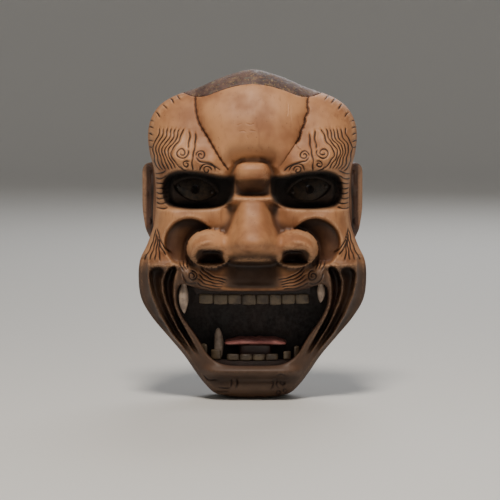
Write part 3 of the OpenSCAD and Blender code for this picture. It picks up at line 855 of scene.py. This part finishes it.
def fromEye(side, points):
    # eye coordinates (along x, up y, out z, mm) to metres in the mask's frame
    turn = math.radians(eye["slant"]) * side
    x = points[..., 0] * math.cos(turn) - points[..., 1] * math.sin(turn)
    y = points[..., 0] * math.sin(turn) + points[..., 1] * math.cos(turn)
    top = 51
    return np.stack([(side * eye["across"] + x) * mm, -(points[..., 2] + top - eye["plate"]) * mm,
                     (eye["up"] + lift * top + y) * mm], -1)


def seatBox(side):
    seat = {"x": 62, "y": -13.5, "z": 22.18, "deep": 21, "high": 56}
    ring = np.array([[-1, -1], [1, -1], [1, 1], [-1, 1]]) * [seat["deep"] / 2, seat["high"] / 2]
    ends = [np.column_stack([np.full(4, side * x), seat["y"] + ring[:, 0], seat["z"] + ring[:, 1]])
            for x in (seat["x"], seat["x"] + 20)]
    return tube("seatBox", np.stack(ends) * mm)


cordHole = {"y": -13.5, "z": 60.18, "radius": 2, "boss": 6, "spot face": 7, "wall": 9}
nostril = {"across": 26.4, "up": -14.6, "forward": 62, "wide": 6.4, "high": 3.4, "rise": 36}
for side in (-1, 1):
    at = np.array([side * 62, cordHole["y"], cordHole["z"]]) * mm
    inward = np.array([-side, 0, 0]) * mm
    cut(shell, rod("boss", at + inward * 0.01, at + inward * cordHole["wall"],
                   cordHole["boss"] * mm, 48), "UNION")
    cut(shell, seatBox(side))
    cut(shell, rod("spotFace", at, at - inward * 12, cordHole["spot face"] * mm, 48))
    cut(shell, rod("cordBore", at - inward * 8, at + inward * 15, cordHole["radius"] * mm))
    pupil = fromEye(side, np.array([0, 0, eye["plate"] - 1.0]))
    rise = math.radians(eye["sight rise"])
    along = np.array([0, math.cos(rise), math.sin(rise)]) * mm
    cut(shell, rod("sightBore", pupil - 4 * along, pupil + 40 * along, eye["sight"] * mm, 48))
    middle = placed(side * nostril["across"], nostril["up"], nostril["forward"])
    rise = math.radians(nostril["rise"])
    axis = np.array([0, math.cos(rise), math.sin(rise)])
    angle = 2 * math.pi * np.arange(40) / 40
    ring = np.column_stack([nostril["wide"] * np.cos(angle), np.zeros(40),
                            nostril["high"] * np.sin(angle)])
    bore = [middle + (ring + axis * depth) * mm for depth in (-8, 0, 12, 24, 48)]
    cut(shell, tube("nostrilBore", np.stack(bore)))


# Ears
earPiece = {"seat": (62.1, -13.5, 22.18), "front": 1.8, "back": 10.9, "floor": 2.4, "rim": 2.4}
earOutline = np.array([
    [-9.2, 19], [-7.6, 24.4], [-3, 26.9], [3, 26.6], [7.8, 23.4], [9.5, 17], [9.4, 6], [8.6, -5],
    [5.6, -14], [2, -21.6], [-1.6, -25.8], [-5.4, -27], [-8.8, -24], [-9.4, -18], [-8.4, -10],
    [-8.8, 0], [-9.4, 10]])


def earHeight(x, y):
    # how far the ear stands out: rolled rim, bowl, inner ridge, plain lobe
    within = insideDistance(closedLine(earOutline, 60), x, y)
    high = mix(earPiece["front"], earPiece["back"], np.clip((x + 9.5) / 17, 0, 1) ** 0.8)
    high *= 1 - 0.25 * ramp(-16, -27, y)
    rimShape = np.sqrt(np.clip(1 - (1 - np.clip(within / 1.7, 0, 1)) ** 2, 0, 1)) ** 0.8
    bowl = ramp(earPiece["rim"] - 0.8, earPiece["rim"] + 2.2, within) * ramp(-17, -11, y)
    ridge = lineDistance([[4.6, 20], [3.4, 12], [3.2, 4], [0.8, -4], [-3.4, -9]], x, y)
    fork = lineDistance([[-3.6, 19], [0.4, 14], [3.3, 9]], x, y)
    inside = earPiece["floor"] + 3.6 * hump(ridge, 1.5) + 2.2 * hump(fork, 1.4)
    tragus = 2.4 * np.exp(-((x + 6.6) / 1.9) ** 2 - ((y + 3) / 3.2) ** 2)
    return mix(high, np.minimum(inside, high), bowl) * rimShape + tragus * bowl


def ear(side):
    edge = closedLine(earOutline, 132)
    centre = np.array([0.5, 2.0])
    rings = [np.column_stack([edge, np.full(len(edge), h)]) for h in (0, 0.6, 1.2)]
    for k in np.r_[0.999, 0.99, np.linspace(0.975, 0.03, 40)]:
        place = centre + (edge - centre) * k
        rings.append(np.column_stack([place, np.maximum(1.2, earHeight(*place.T))]))
    rings = np.array(rings)
    x0, y0, z0 = earPiece["seat"]
    points = [side * (x0 + rings[..., 2]), y0 + rings[..., 0], z0 + rings[..., 1]]
    return tube("leftEar" if side < 0 else "rightEar", np.stack(points, -1) * mm)


ears = {side: ear(side) for side in (-1, 1)}


# Teeth, tusks and tongue
def blocks(name, shapes, arch, power):
    # Rounded blocks bent to a dental arch. shapes: left, right, low, high, front, thickness (mm).
    # Each is a stack of superellipse rings whose size falls off towards both ends.
    allPoints, allFaces, start = [], [], 0
    angle = 2 * math.pi * np.arange(28) / 28
    for left, right, low, high, front, thick in shapes:
        t = np.linspace(-1, 1, 17)[:, None]
        size = (1 - np.abs(t) ** 5) ** (1 / 5) * 0.97 + 0.03
        x, y = (np.sign(wave) * np.abs(wave) ** (2 / power)
                for wave in (np.cos(angle), np.sin(angle)))
        lean = rng.uniform(-0.25, 0.25)
        across = (left + right) / 2 + (right - left) / 2 * x * size + lean * t
        f = front - thick / 2 + thick / 2 * y * size + 0.25 * t
        f = f - arch + np.sqrt(arch ** 2 - across ** 2) + rng.uniform(-0.3, 0.1)
        b = (low + high) / 2 + (high - low) / 2 * t
        points, faces = closedRings(placed(across, b + lift * (front - f), f))
        allPoints.append(points)
        allFaces += [[start + corner for corner in face] for face in faces]
        start += len(points)
    obj = newPiece(name, np.vstack(allPoints), allFaces)
    faceOutwards(obj)
    return obj


upperRow = {"edges": (-35, -25.5, -16, -7, 2.5, 11, 19, 28, 37), "low": -46.4, "high": -39.2,
            "front": 49, "thick": 5, "arch": 150, "squareness": 4.5}
lowerRow = {"low": -83.4, "front": 41, "thick": 5, "arch": 60, "squareness": 2.8,
            "teeth": ((-34, -29.5, -73), (-27.5, -20.5, -76.5), (-17, -8.5, -79), (-8.5, 0, -79),
                      (0, 8.5, -79), (8.5, 17, -79), (20, 25.5, -77.5), (27, 31, -74.5),
                      (32, 36, -75))}   # left edge, right edge and top of each
upperTeeth = blocks("upperTeeth", [
    (left + 0.05, right - 0.05, upperRow["low"] + 0.4 * math.sin(left), upperRow["high"],
     upperRow["front"], upperRow["thick"])
    for left, right in zip(upperRow["edges"], upperRow["edges"][1:])],
    upperRow["arch"], upperRow["squareness"])
lowerTeeth = blocks("lowerTeeth", [
    (left + 0.15, right - 0.15, lowerRow["low"], top, lowerRow["front"], lowerRow["thick"])
    for left, right, top in lowerRow["teeth"]], lowerRow["arch"], lowerRow["squareness"])


def tusk(name, across, up, forward, length, radius, root, bend, blunt):
    # spindle hanging from a point, flattened front to back and bent sideways, on a round root
    t = np.linspace(0, 1, 48)
    z = mix(max(0, root[1]), min(-length, root[0]), t)
    s = np.clip(-z / length, 0, 1)
    spindle = radius * np.sin(math.pi * np.clip(s, 0.002, 0.998)) ** blunt
    stem = np.where((z >= root[0]) & (z <= root[1]), rootRadius, 0)
    size = np.maximum(np.maximum(spindle, stem), 0.05)[:, None]
    angle = 2 * math.pi * np.arange(36) / 36
    middle = (4 * s * (1 - s))[:, None]
    ridge = 1 + 0.03 * np.cos(3 * angle) * middle
    x = across + bend * middle + size * np.cos(angle) * ridge
    f = forward + 0.9 * size * np.sin(angle) * ridge
    z = up + lift * forward + z[:, None] + 0 * x
    return tube(name, np.stack([x, -f, z], -1) * mm)


rootRadius = 1.8
leftTusk = tusk("leftUpperTusk", -44.5, -31, 44, 21, 3.2, (-5, 6), -0.5, 0.72)
rightTusk = tusk("rightUpperTusk", 44.5, -31, 44, 14, 2.6, (-5, 6), 0.3, 0.72)
lowerTusk = tusk("lowerTusk", -22.7, -62, 24.5, 22.5, 3.2, (-28, -17), 0.4, 0.42)


tongueShape = {"middle": 2, "half width": 20.6, "thick": 2.35, "up": -71.3, "centre": 21,
               "half depth": 12, "arch": 250, "groove": 0.7, "level": 33,
               "root": (9.6, 27.75, 3.4),   # half width, place forward, half depth
               "root rows": ((-89.6, 1), (-84, 0.96), (-78, 0.94), (-74.4, 0.96), (-72.6, 1))}


def tongueBody():
    # slab: rounded sections from side to side, arched, with a groove along the middle
    shape = tongueShape
    t = np.linspace(-1, 1, 61)[:, None]
    angle = 2 * math.pi * np.arange(48) / 48
    size = (1 - np.abs(t) ** 6) ** (1 / 3.2) * 0.98 + 0.02
    cosine, sine = np.cos(angle), np.sin(angle)
    outwards = np.sign(cosine) * np.abs(cosine) ** 0.7
    f = shape["centre"] + shape["half depth"] * outwards * size ** 0.5
    x = shape["middle"] + shape["half width"] * t + 0 * f
    z = shape["thick"] * np.sign(sine) * np.abs(sine) ** 0.75 * size
    z = z + shape["up"] - (shape["half width"] * t) ** 2 / shape["arch"]
    z = z - shape["groove"] * hump(x - shape["middle"], 1.8) * (sine > 0)
    z = z + 0.25 * np.sin(x * 0.55) * (sine > 0)
    raised = lift * shape["level"]
    slab = tube("tongue", np.stack([x, -f, z + raised], -1) * mm)
    wide, forward, deep = shape["root"]
    side = closedLine(np.array([[-1.0, -1], [1, -1], [1, 1], [-1, 1]]), 24) / 1.05
    root = [np.column_stack([shape["middle"] + wide * k * side[:, 0], -forward - deep * side[:, 1],
                             np.full(24, z + raised)]) for z, k in shape["root rows"]]
    cut(slab, tube("tongueRoot", np.array(root) * mm), "UNION")
    return slab


tonguePiece = tongueBody()
print("teeth, tusks and tongue made")


# What the eye sees where
reliefMap = {"across": 80, "up": 114}   # the map runs this far to either side of the middle


def heightMap():
    # the face's height on a millimetre grid, level with the lips over the mouth
    wide, high = reliefMap["across"], reliefMap["up"]
    a, b = np.meshgrid(np.arange(-wide, wide + 1.0), np.arange(-high, high + 1.0))
    reach = np.hypot(a, b) / edgeRadius(a, b)
    return np.where(reach < 1, faceHeight(a, b, np.clip(reach, 0.3, 0.99)), 8)


def blurred(grid, blur):
    # the map smoothed by a bell of that radius in millimetres
    reach = int(3 * blur)
    kernel = np.exp(-(np.arange(-reach, reach + 1) / blur) ** 2)
    kernel /= kernel.sum()
    grid = np.pad(grid, reach, mode="edge")
    grid = np.apply_along_axis(lambda row: np.convolve(row, kernel, "valid"), 1, grid)
    return np.apply_along_axis(lambda row: np.convolve(row, kernel, "valid"), 0, grid)


def overhangShadeMap(grid):
    # steepest rise met on the way up the face: how far a place lies under an overhang, for painted
    # shade cast from above
    rise = np.zeros(grid.shape)
    for step in range(2, 46):
        rise[:-step] = np.maximum(rise[:-step], (grid[step:] - grid[:-step] - 1) / step)
    return rise


def sample(grid, a, b):
    # value of the map at a place, between the four grid points round it
    wide, high = reliefMap["across"], reliefMap["up"]
    x, y = np.clip(a + wide, 0, 2 * wide - 0.1), np.clip(b + high, 0, 2 * high - 0.1)
    i, j = x.astype(int), y.astype(int)
    s, t = x - i, y - j
    return (grid[j, i] * (1 - s) * (1 - t) + grid[j, i + 1] * s * (1 - t)
            + grid[j + 1, i] * (1 - s) * t + grid[j + 1, i + 1] * s * t)


def setAttribute(obj, name, values):
    attribute = obj.data.attributes.get(name) or obj.data.attributes.new(name, "FLOAT", "POINT")
    attribute.data.foreach_set("value", np.asarray(values, np.float32))


def arrays(obj):
    count = len(obj.data.vertices)
    points, normals = np.zeros(count * 3, np.float32), np.zeros(count * 3, np.float32)
    obj.data.vertices.foreach_get("co", points)
    obj.data.vertex_normals.foreach_get("vector", normals)
    return points.reshape(-1, 3).astype(float), normals.reshape(-1, 3)


def paintedShadowPlaces(p, b):
    # painted shadow under the nose, under the knob and in the corners beside the bridge
    underNose = 0.85 * ramp(-10, -16, b) * ramp(27, 12, p) * ramp(-38, -34, b)
    underKnob = 0.7 * ramp(37.5, 34, b) * ramp(24.5, 26, b) * ramp(12.5, 10.5, p)
    beside = 0.75 * bell(p, b, (14.6, 17.5), (3.2, 8))
    return np.maximum(np.maximum(underNose, underKnob), beside)


def markShell(obj):
    # what lies on the carved side only is written to named attributes, from 0 to 1
    points, normals = arrays(obj)
    a, b, f = inMask(points)
    p = np.abs(a)
    front = (normals[:, 1] < 0.35) & (f > np.minimum(hollowOf(a, b) + 1.2, 24))
    _, ink_and_bore_shade, crack = carveLines(a, b, f)
    height = heightMap()
    # painted shade: darker the deeper a place lies below its surroundings, in the crescent hollows
    # and under overhangs
    sunk = np.clip((sample(blurred(height, 6.5), a, b) - f) / 7, 0, 1)
    overhangShade = np.clip(sample(blurred(overhangShadeMap(height), 1.2), a, b) / 2.4, 0, 1)
    values = {"ink_and_bore_shade": ink_and_bore_shade, "crack": crack,
              "hollow": np.maximum(sunk, 0.6 * crescentDepth(p, b)),
              # crest: pale raised edges, partly rubbed wear and partly painted highlight
              "crest": np.clip((f - sample(blurred(height, 2.2), a, b)) / 1.6, 0, 1),
              "painted_shade": np.maximum(overhangShade, paintedShadowPlaces(p, b)),
              # socket: painted shadow in the eye sockets under the brows
              "socket": ramp(-2.5, 2.5, insideDistance(socket, p, b)) * ramp(9.6, 12.5, p),
              # lower: painted shade, darker towards the bottom of the face
              "lower": ramp(-9, -28, b - np.minimum(p - 46, 0) * ramp(-40, -34, b))}
    # painted shade in the sight bores: the ink colour is put on their walls so the holes read dark
    along, across = eyeFrame(p, b)
    bore = (np.hypot(along, across) < 8) & (normals[:, 1] > -0.6) & (f < 50)
    values["ink_and_bore_shade"] = np.where(bore, 1, values["ink_and_bore_shade"])
    outside = (normals[:, 1] < 0.35) & (f > 0.2)
    onFace = ramp(0.995, 0.965, np.hypot(a, b) / edgeRadius(a, b))
    for name in ("hollow", "crest", "painted_shade"):
        values[name] = values[name] * onFace
    for name, value in values.items():
        seen = front | {"ink_and_bore_shade": bore, "lower": outside}.get(name, False)
        setAttribute(obj, name, np.where(seen, value, 0))
    inside = ramp(0.5, -0.5, np.hypot(a, b) - innerRadius(a, b))
    setAttribute(obj, "back", np.where(front, 0, inside * (f > 0.2)))


def markEar(obj, side):
    # painted shade in the bowl; the rolled rim pale, partly rubbed wear and partly painted
    # highlight
    points, _ = arrays(obj)
    x0, y0, z0 = earPiece["seat"]
    out = side * points[:, 0] / mm - x0
    x, y = points[:, 1] / mm - y0, points[:, 2] / mm - z0
    within = insideDistance(closedLine(earOutline, 60), x, y)
    share = out / (earPiece["back"] * (1 - 0.25 * ramp(-16, -27, y)))
    facing = ramp(0.6, 1.8, within) * ramp(-24, -17, y)
    setAttribute(obj, "hollow", facing * ramp(0.78, 0.66, share))
    # painted shadow deep in the bowl
    painted_shadow = 0.85 * facing * ramp(0.62, 0.3, share)
    setAttribute(obj, "painted_shade", painted_shadow * (1 - 0.6 * ramp(9, 15, y)))
    setAttribute(obj, "crest", ramp(0.7, 0.86, share))


markShell(shell)
for side in (-1, 1):
    markEar(ears[side], side)
# the shaded places are painted shade
print("worn, shaded and inked places marked")


# Finishes
def noise(tree, coordinates, scale, detail=4.0, roughness=0.55, distortion=0.0, stretch=None):
    source = coordinates
    if stretch:
        mapping = addNode(tree, "Mapping", {"Vector": coordinates}, Scale=stretch)
        source = mapping.outputs[0]
    return addNode(tree, "TexNoise", {"Vector": source}, Scale=scale, Detail=detail,
                   Roughness=roughness, Distortion=distortion).outputs[0]


def attribute(tree, name):
    node = tree.nodes.new("ShaderNodeAttribute")
    node.attribute_name = name
    return node.outputs["Fac"]


def maths(tree, operation, first, second=0.0):
    node = tree.nodes.new("ShaderNodeMath")
    node.operation = operation
    for socket, value in zip(node.inputs, (first, second)):
        if isinstance(value, (int, float)):
            socket.default_value = value
        else:
            tree.links.new(value, socket)
    return node.outputs[0]


def bump(tree, height, distance, strength=1.0, after=None):
    links = {"Height": height}
    if after is not None:
        links["Normal"] = after
    return addNode(tree, "Bump", links, Distance=distance, Strength=strength).outputs[0]


def objectPlace(tree):
    return tree.nodes.new("ShaderNodeTexCoord").outputs["Object"]


# the colours for the hollows, the overhangs, the eye sockets and the lower face are painted shade;
# the hollow colour also gives the random dark specks; the worn colour is partly rubbed wear and
# partly painted highlight; the ink colour also paints shade in the sight bores
woodFinish = {"light": "#b27f56", "dark": "#8e5d3b", "grain": "#7a4d30", "hollow": "#40251a",
              "worn": "#c39670", "ink_and_bore_shade": "#26140b", "crack": "#43220f", "socket": "#0c0705",
              "painted_shadow": "#1f140e", "lower": "#34271f", "back": "#2c1a12"}


def surface(tree, shader, colour, rough, normal):
    tree.links.new(colour, shader.inputs["Base Color"])
    tree.links.new(rough, shader.inputs["Roughness"])
    tree.links.new(normal, shader.inputs["Normal"])


def woodMaterial(name, finish):
    # cypress under a thin size and pigment wash, rubbed with wax: fine upright grain, dull sheen,
    # painted shade in the hollows, under overhangs, in the eye sockets and towards the bottom,
    # pale raised edges partly rubbed and partly painted highlight, dark ink in the cuts and
    # painted shade in the sight bores
    mat, tree, shader = newMaterial(name, IOR=1.45)
    place = objectPlace(tree)
    broad = noise(tree, place, 38, 3, 0.6)
    grain = noise(tree, place, 260, 5, 0.6, 0.6, (1, 1, 0.09))
    fine = noise(tree, place, 1500, 3, 0.6)
    speck = noise(tree, place, 620, 2, 0.5)
    colour = mixColour(tree, rampOf(tree, broad, 0.35, 0.68), finish["light"], finish["dark"])
    colour = mixColour(tree, rampOf(tree, grain, 0.56, 0.74, 0, 0.5), colour, finish["grain"])
    colour = mixColour(tree, rampOf(tree, speck, 0.68, 0.76, 0, 0.5), colour, finish["hollow"])
    uneven = maths(tree, "MULTIPLY", maths(tree, "SUBTRACT", broad, 0.5), 0.4)
    # pale raised edges, partly rubbed wear and partly painted highlight, fainter where the lower
    # face is painted darker
    worn = maths(tree, "MULTIPLY", attribute(tree, "crest"), rampOf(tree, speck, 0.3, 0.6, 0.4, 1))
    worn = maths(tree, "MULTIPLY", worn, rampOf(tree, attribute(tree, "lower"), 0.3, 1, 1, 0.45))
    layers = (  # what to look at, where the layer starts and ends, its strength, its colour
        # painted shade: the lower-face, hollow, overhang and socket layers; the worn layer is
        # partly painted highlight
        (attribute(tree, "lower"), 0, 1, 0.88, "lower"),
        (maths(tree, "ADD", attribute(tree, "hollow"), uneven), 0.05, 0.8, 0.85, "hollow"),
        (maths(tree, "ADD", attribute(tree, "painted_shade"), uneven), 0.12, 0.85, 0.9, "painted_shadow"),
        (worn, 0.15, 0.85, 0.42, "worn"),
        (attribute(tree, "socket"), 0, 1, 0.96, "socket"),
        (attribute(tree, "crack"), 0.15, 0.8, 0.9, "crack"),
        (attribute(tree, "ink_and_bore_shade"), 0.12, 0.7, 0.96, "ink_and_bore_shade"),
        (attribute(tree, "back"), 0, 1, 0.9, "back"))
    for source, low, high, strength, key in layers:
        colour = mixColour(tree, rampOf(tree, source, low, high, 0, strength), colour, finish[key])
    shine = maths(tree, "ADD", broad, maths(tree, "MULTIPLY", fine, 0.4))
    rough = rampOf(tree, shine, 0.4, 0.95, 0.46, 0.66)
    rough = maths(tree, "ADD", rough, maths(tree, "MULTIPLY", attribute(tree, "socket"), 0.3))
    tools = noise(tree, place, 150, 2, 0.4, 0.2, (1, 1, 0.6))
    normal = bump(tree, grain, 0.00012, 0.7)
    normal = bump(tree, fine, 0.00006, 0.6, normal)
    normal = bump(tree, tools, 0.0006, 0.5, normal)
    surface(tree, shader, colour, rough, normal)
    return mat


def plainMaterial(name, light, dark, roughness, scale, metallic=0.0, speck=None, ior=1.5):
    # one colour broken by mottling and optional specks, with a fine uneven surface
    mat, tree, shader = newMaterial(name, IOR=ior, Metallic=metallic)
    place = objectPlace(tree)
    mottle = noise(tree, place, scale, 5, 0.6)
    fine = noise(tree, place, scale * 8, 3, 0.6)
    colour = mixColour(tree, rampOf(tree, mottle, 0.35, 0.66), light, dark)
    if speck:
        spots = noise(tree, place, scale * 3.3, 4, 0.7)
        colour = mixColour(tree, rampOf(tree, spots, 0.6, 0.7, 0, 0.85), colour, speck)
    rough = rampOf(tree, fine, 0.3, 0.7, roughness - 0.1, roughness + 0.12)
    normal = bump(tree, fine, 0.0001, 0.7, bump(tree, mottle, 0.0004, 0.6))
    surface(tree, shader, colour, rough, normal)
    return mat


def crownMaterial():
    # black lacquer ground worn to purple-brown, with flecks of old gold leaf and grey dust
    mat, tree, shader = newMaterial("lacquer_worn_over_wood", IOR=1.5)
    place = objectPlace(tree)
    broad, middle = noise(tree, place, 60, 4, 0.65), noise(tree, place, 220, 5, 0.7)
    fleck = noise(tree, place, 420, 4, 0.75, 1.0)
    colour = mixColour(tree, rampOf(tree, broad, 0.38, 0.62), "#5d443c", "#3d2b28")
    colour = mixColour(tree, rampOf(tree, middle, 0.5, 0.66, 0, 0.8), colour, "#6f5647")
    colour = mixColour(tree, rampOf(tree, fleck, 0.56, 0.62, 0, 0.7), colour, "#8d7448")
    dust = rampOf(tree, noise(tree, place, 300, 3, 0.6), 0.58, 0.68, 0, 0.5)
    colour = mixColour(tree, dust, colour, "#5c6355")
    surface(tree, shader, colour, rampOf(tree, middle, 0.3, 0.7, 0.4, 0.75),
            bump(tree, fleck, 0.0003, 0.7, bump(tree, middle, 0.0007, 0.7)))
    return mat


def tongueMaterial():
    # pink painted wood, with painted shade below its top edge: the front face and the root under
    # it are dark
    mat, tree, shader = newMaterial("wood_painted_pink", IOR=1.5)
    place = objectPlace(tree)
    height = tree.nodes.new("ShaderNodeSeparateXYZ")
    tree.links.new(place, height.inputs[0])
    mottle = noise(tree, place, 160, 4, 0.6)
    colour = mixColour(tree, rampOf(tree, mottle, 0.35, 0.7), "#b7776f", "#8a4e49")
    up = maths(tree, "ADD", height.outputs[2], maths(tree, "MULTIPLY", mottle, 0.001))
    # painted shade: dark below the top edge of the tongue's front face and on the root
    colour = mixColour(tree, rampOf(tree, up, -0.0698, -0.0686), "#2a1611", colour)
    surface(tree, shader, colour, rampOf(tree, mottle, 0.3, 0.7, 0.35, 0.5),
            bump(tree, noise(tree, place, 700, 3, 0.6), 0.0001, 0.6))
    return mat


faceWood = woodMaterial("cypress_wood_sized_and_waxed", woodFinish)
# painted shade: a darker copy of the face's wood for the ears, which face sideways away from the
# key light
earWoodShaded = woodMaterial("cypress_wood_waxed_shaded_copy",
                       dict(woodFinish, light="#8f6a50", dark="#664632", worn="#a98366"))
# painted shade: the tusks' ivory paint made much darker for the shade in the mouth
toothWoodInShade = plainMaterial("wood_painted_ivory_darkened_for_shade", "#584a37", "#382c20", 0.45, 140,
                          speck="#241a12")
tuskWood = plainMaterial("wood_painted_ivory", "#9d8a7a", "#756459", 0.38, 150, speck="#5a4a40")
gumWood = plainMaterial("wood_red_brown_lacquer", "#25140e", "#170c09", 0.62, 120)
# painted shade: the throat plate is near black so the mouth behind the teeth reads as shade
mouthShadeBoard = plainMaterial("cypress_board_dark_for_mouth_shade", "#2b1d18", "#1a1210", 0.6, 60)
# near-black gilt eye plates: partly tarnish, partly painted shadow from the brows
copper = plainMaterial("copper_sheet_gilt_tarnished_and_shaded", "#2a1f14", "#100c08", 0.46, 300,
                       metallic=0.85, speck="#43331d", ior=0.6)
ironNail = plainMaterial("iron_forged_nail", "#3a322c", "#1f1a17", 0.55, 500, metallic=0.8,
                         ior=2.3)
pegWood = plainMaterial("bamboo_whittled", "#b39668", "#94784c", 0.55, 200)


def finish(obj, material, body, slotName, node=None):
    obj.data.materials.clear()
    obj.data.materials.append(material)
    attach(obj, body)
    if node:
        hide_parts(node)


finish(shell, faceWood, "root", "carved_wood", "face_shell")
finish(crown, crownMaterial(), "root", "dark_crown", "crown_block")
finish(ears[-1], earWoodShaded, "root", "ear_wood", "left_ear")
finish(ears[1], earWoodShaded, "root", "ear_wood", "right_ear")
finish(upperTeeth, toothWoodInShade, "root", "tooth_wood", "upper_teeth")
finish(lowerTeeth, toothWoodInShade, "root", "tooth_wood", "lower_teeth")
finish(leftTusk, tuskWood, "root", "tusk_wood", "left_upper_tusk")
finish(rightTusk, tuskWood, "root", "tusk_wood", "right_upper_tusk")
finish(lowerTusk, tuskWood, "root", "tusk_wood", "lower_tusk")
finish(tonguePiece, tongueMaterial(), "root", "tongue_wood", "tongue")
cadFinishes = {"crown_pegs": (pegWood, "bamboo"), "left_ear_pegs": (pegWood, "bamboo"),
               "right_ear_pegs": (pegWood, "bamboo"), "left_eye_plate": (copper, "gilt_copper"),
               "right_eye_plate": (copper, "gilt_copper"), "left_eye_nails": (ironNail, "iron"),
               "right_eye_nails": (ironNail, "iron"), "upper_gum": (gumWood, "gum_wood"),
               "lower_gum": (gumWood, "gum_wood"), "throat_plate": (mouthShadeBoard, "dark_board")}
for node, (material, slotName) in cadFinishes.items():
    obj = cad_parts[node]
    obj.data.materials.clear()
    obj.data.materials.append(material)
print("finishes given to", len(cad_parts), "nodes")


# Floor, backdrop and surroundings
studio = {"floor": "#cfcdc9", "radius": 3.4, "bend": 1.1, "height": 3.2, "world": 0.3}


def studioBowl():
    # profile turned round: flat floor that curves up into a plain wall
    bottom = min(piece.z for piece in cadBounds) - 0.0003
    flat, bend = studio["radius"] - studio["bend"], studio["bend"]
    profile = [(0.001, bottom), (1.0, bottom), (flat, bottom)]
    profile += [(flat + bend * math.sin(x), bottom + bend - bend * math.cos(x))
                for x in np.linspace(0, math.pi / 2, 24)[1:]]
    profile += [(studio["radius"], studio["height"])]
    angle = 2 * math.pi * np.arange(96) / 96
    rings = [np.column_stack([r * np.cos(angle), r * np.sin(angle), np.full(96, z)])
             for r, z in profile]
    points = np.vstack(rings + [[0, 0, bottom]])
    faces = gridQuads(len(profile), 96).tolist()
    faces += [[(i + 1) % 96, i, len(points) - 1] for i in range(96)]
    bowl = newPiece("studioFloor", points, faces)
    mat, *_ = newMaterial("paint_matt_pale", Roughness=0.7, Base_Color=srgb(studio["floor"]))
    bowl.data.materials.append(mat)


studioBowl()
world = bpy.data.worlds.new("studioAir")
bpy.context.scene.world = world
world.use_nodes = True
world.node_tree.nodes["Background"].inputs["Color"].default_value = srgb("#dfe2e6")
world.node_tree.nodes["Background"].inputs["Strength"].default_value = studio["world"]
